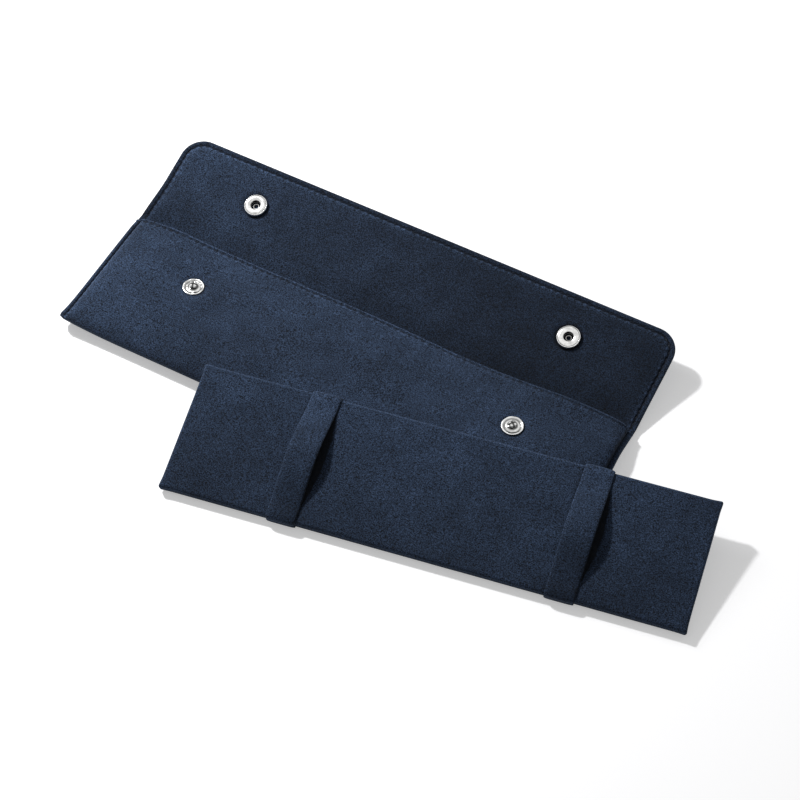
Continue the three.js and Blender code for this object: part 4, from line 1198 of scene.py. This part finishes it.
def strap_line(spread):
    """Middle line of a strap in the pad's (across, up) plane, from tail to tail."""
    off = PLY_GAP + STRAP_TAIL / 2
    radius = off + 0.3
    shoulder = 1.0 + off
    line = [(y, -off) for y in np.linspace(6.0, radius - off + 0.1, 7)[:-1]]
    line += [(radius - off + radius * math.cos(a), radius - off + radius * math.sin(a))
             for a in turn(270, 180, 7)]
    line += [(-off, n) for n in np.linspace(radius - off + 0.3, PAD_EDGE - 1.3, 4)]
    line += [(1.0 + shoulder * math.cos(a), PAD_EDGE - 1.0 + shoulder * math.sin(a))
             for a in turn(180, 122, 7)]
    for share in np.linspace(0.05, 0.5, 28):
        climb = math.sin(math.pi / 2 * min(max((share - 0.06) / 0.44, 0), 1)) ** 1.6
        cushion = PAD_CROWN * math.sin(math.pi / 2 * min(share * PAD[1] / 22, 1))
        line.append((PAD[1] * share, PAD_EDGE + off + max(cushion, spread * STRAP_ARCH * climb)))
    half = np.array(line)
    other = half[-2::-1] * (-1, 1) + (PAD[1], 0)
    return np.vstack([half, other])


def make_strap(label, near, far, drawn, seed):
    """A folded cloth band over the pad, its middle drawn aside by drawn millimetres."""
    widths = np.sin(np.linspace(-math.pi / 2, math.pi / 2, 27))
    lines = [strap_line(1.0 + 0.05 * w) for w in widths]
    count = len(lines[0])
    station = np.arange(count)
    arch = np.sin(np.linspace(0, math.pi, count)) ** 2
    fuller = smooth((np.minimum(station, station[::-1]) - 12) / 10)
    upper, lower = [], []
    for w, line in zip(widths, lines):
        tangent = np.gradient(line, axis=0)
        tangent /= np.maximum(np.linalg.norm(tangent, axis=1), 1e-9)[:, None]
        normal = np.stack([-tangent[:, 1], tangent[:, 0]], -1)
        round_edge = max(math.sqrt(max(1 - abs(w) ** 6, 0.0)), 0.25)
        half = STRAP_TAIL / 2 * round_edge
        outer = (STRAP_TAIL / 2 + (STRAP_THICK - STRAP_TAIL) * fuller) * round_edge
        lift = 0.16 * (1 - w * w) * arch + 0.06 * ripple(station, w * 6, 9, seed) * arch
        middle = near + (far - near) * np.clip(line[:, 0] / PAD[1], 0, 1)
        x = middle + w * (STRAP_WIDTH / 2) * (1 + 0.055 * arch) + drawn * arch
        upper.append(np.column_stack([x, line + normal * (outer + lift)[:, None]]))
        lower.append(np.column_stack([x, line + normal * (lift - half)[:, None]]))
    loop = np.array(upper + lower[::-1]).transpose(1, 0, 2)
    # Painted shade on the strap's right edge and a painted highlight on its left; painted shade on its near
    # half and painted light on its far half, with a painted highlight where it turns over the far edge;
    # painted shade on its underside.
    rims = 24 * np.clip(widths - 0.95, 0, 0.05) - 6 * np.clip(-0.9 - widths, 0, 0.1)
    to_far = smooth((station - 24) / (count - 48))
    along = 0.5 - 0.7 * to_far - 0.5 * bump(station - (count - 20), 2.6)
    press = np.hstack([rims[None] + along[:, None], np.full((count, len(widths)), 0.9)])
    piece(f"strap_band_{label}", pad_place(*np.moveaxis(loop, -1, 0)), flat_tube_faces(*loop.shape[:2]),
          "suede", "display_pad", f"strap_{label}", press=press)


# Assembly

for cloth in (make_outer_cover(), make_flap_facing()):
    across_fold(cloth)
make_front_panel()
make_panel_layer("front_wadding", "front_padding", "padding", (0.66, 0.98))
make_panel_layer("front_lining_cloth", "front_lining", "lining", (1.14, 1.44))
make_mouth_hem()
make_back_layers()
make_flap_layers()
make_side_allowance(-1, "left")
make_side_allowance(1, "right")
make_stitching("flap_stitching", flap_stitches(), "flap")
make_stitching("pocket_stitching", pocket_stitches(), "pocket")
for label, x in (("left", -SNAP_X), ("right", SNAP_X)):
    for make in (make_stud, make_eyelet, make_socket, make_spring, make_cap):
        make(label, x)
make_pad_cushion()
make_pad_layers()
make_strap("left", *STRAPS[0], 19)
make_strap("right", *STRAPS[1], 20)


# Surroundings

def make_floor():
    """A pale floor with a glow that doesn't light the cloth. Further out, where the lamps no longer
    reach, it runs into the white background."""
    floor = Surface("pale_floor")
    floor.feed(floor.shader, {"Base Color": (0.86, 0.86, 0.87, 1), "Roughness": 0.9,
                              "Specular IOR Level": 0.1})
    seen = floor.seen_directly()
    glow = floor.node("Emission", {"Color": (1, 1, 1, 1), "Strength": floor.times(seen, 0.38)})
    lit = floor.node("AddShader", {0: floor.shader.outputs[0], 1: glow})
    reach = floor.node("VectorMath", {0: floor.place}, "Value", operation="LENGTH")
    far = floor.times(floor.remap(reach, 0, 1, 0.42, 1.1), seen)
    mix = floor.node("MixShader", {0: far, 1: lit, 2: floor.node("Emission")})
    floor.feed(floor.output, {0: mix})
    r, z = 3.0, -0.00005
    mesh = bpy.data.meshes.new("floor")
    mesh.from_pydata([(-r, -r, z), (r, -r, z), (r, r, z), (-r, r, z)], [], [(0, 1, 2, 3)])
    mesh.materials.append(floor.material)
    link("floor", mesh)


def make_world(fill):
    """Even light of strength fill, and a white background."""
    world = bpy.data.worlds.new("studio")
    bpy.context.scene.world = world
    world.use_nodes = True
    sky = Graph(world.node_tree)
    plain, white = (sky.node("Background", {"Color": (1, 1, 1, 1), "Strength": strength})
                    for strength in (fill, 1.0))
    mix = sky.node("MixShader", {0: sky.seen_directly(), 1: plain, 2: white})
    sky.feed(sky.nodes.new("ShaderNodeOutputWorld"), {0: mix})


def area_light(name, place, target, size, power):
    light = bpy.data.lights.new(name, "AREA")
    light.shape = "DISK"
    light.size = size
    light.energy = power
    obj = link(name, light)
    obj.location = place
    obj.rotation_euler = (Vector(target) - Vector(place)).to_track_quat("-Z", "Y").to_euler()


def make_camera(look_x, look_y, azimuth, elevation, distance, roll, focal_px):
    """A camera that looks at a point of the table, in millimetres and degrees. The focal length is
    in pixels of a picture 800 wide."""
    az, el, ro = (math.radians(v) for v in (azimuth, elevation, roll))
    forward = Vector((math.sin(az) * math.cos(el), math.cos(az) * math.cos(el), -math.sin(el)))
    right = forward.cross(Vector((0, 0, 1))).normalized()
    up = right.cross(forward)
    right, up = math.cos(ro) * right + math.sin(ro) * up, -math.sin(ro) * right + math.cos(ro) * up
    data = bpy.data.cameras.new("camera")
    data.sensor_width = 36
    data.lens = focal_px / 800 * 36
    data.clip_start = 0.01
    obj = link("camera", data)
    place = (Vector((look_x, look_y, 0)) - distance * forward) * MM
    obj.matrix_world = Matrix.Translation(place) @ Matrix((right, up, -forward)).transposed().to_4x4()
    bpy.context.scene.camera = obj


make_floor()
make_world(0.24)
area_light("key", (-0.56, 0.17, 0.61), (0, 0, 0), 0.06, 6.2)
area_light("soft", (-0.30, 0.12, 0.32), (-0.05, 0, 0), 0.22, 0.55)
make_camera(23.905, 4.233, -28.032, 53.425, 872.789, 0.568, 2286.275)
bpy.context.scene.view_settings.view_transform = "Standard"

bpy.context.view_layer.update()
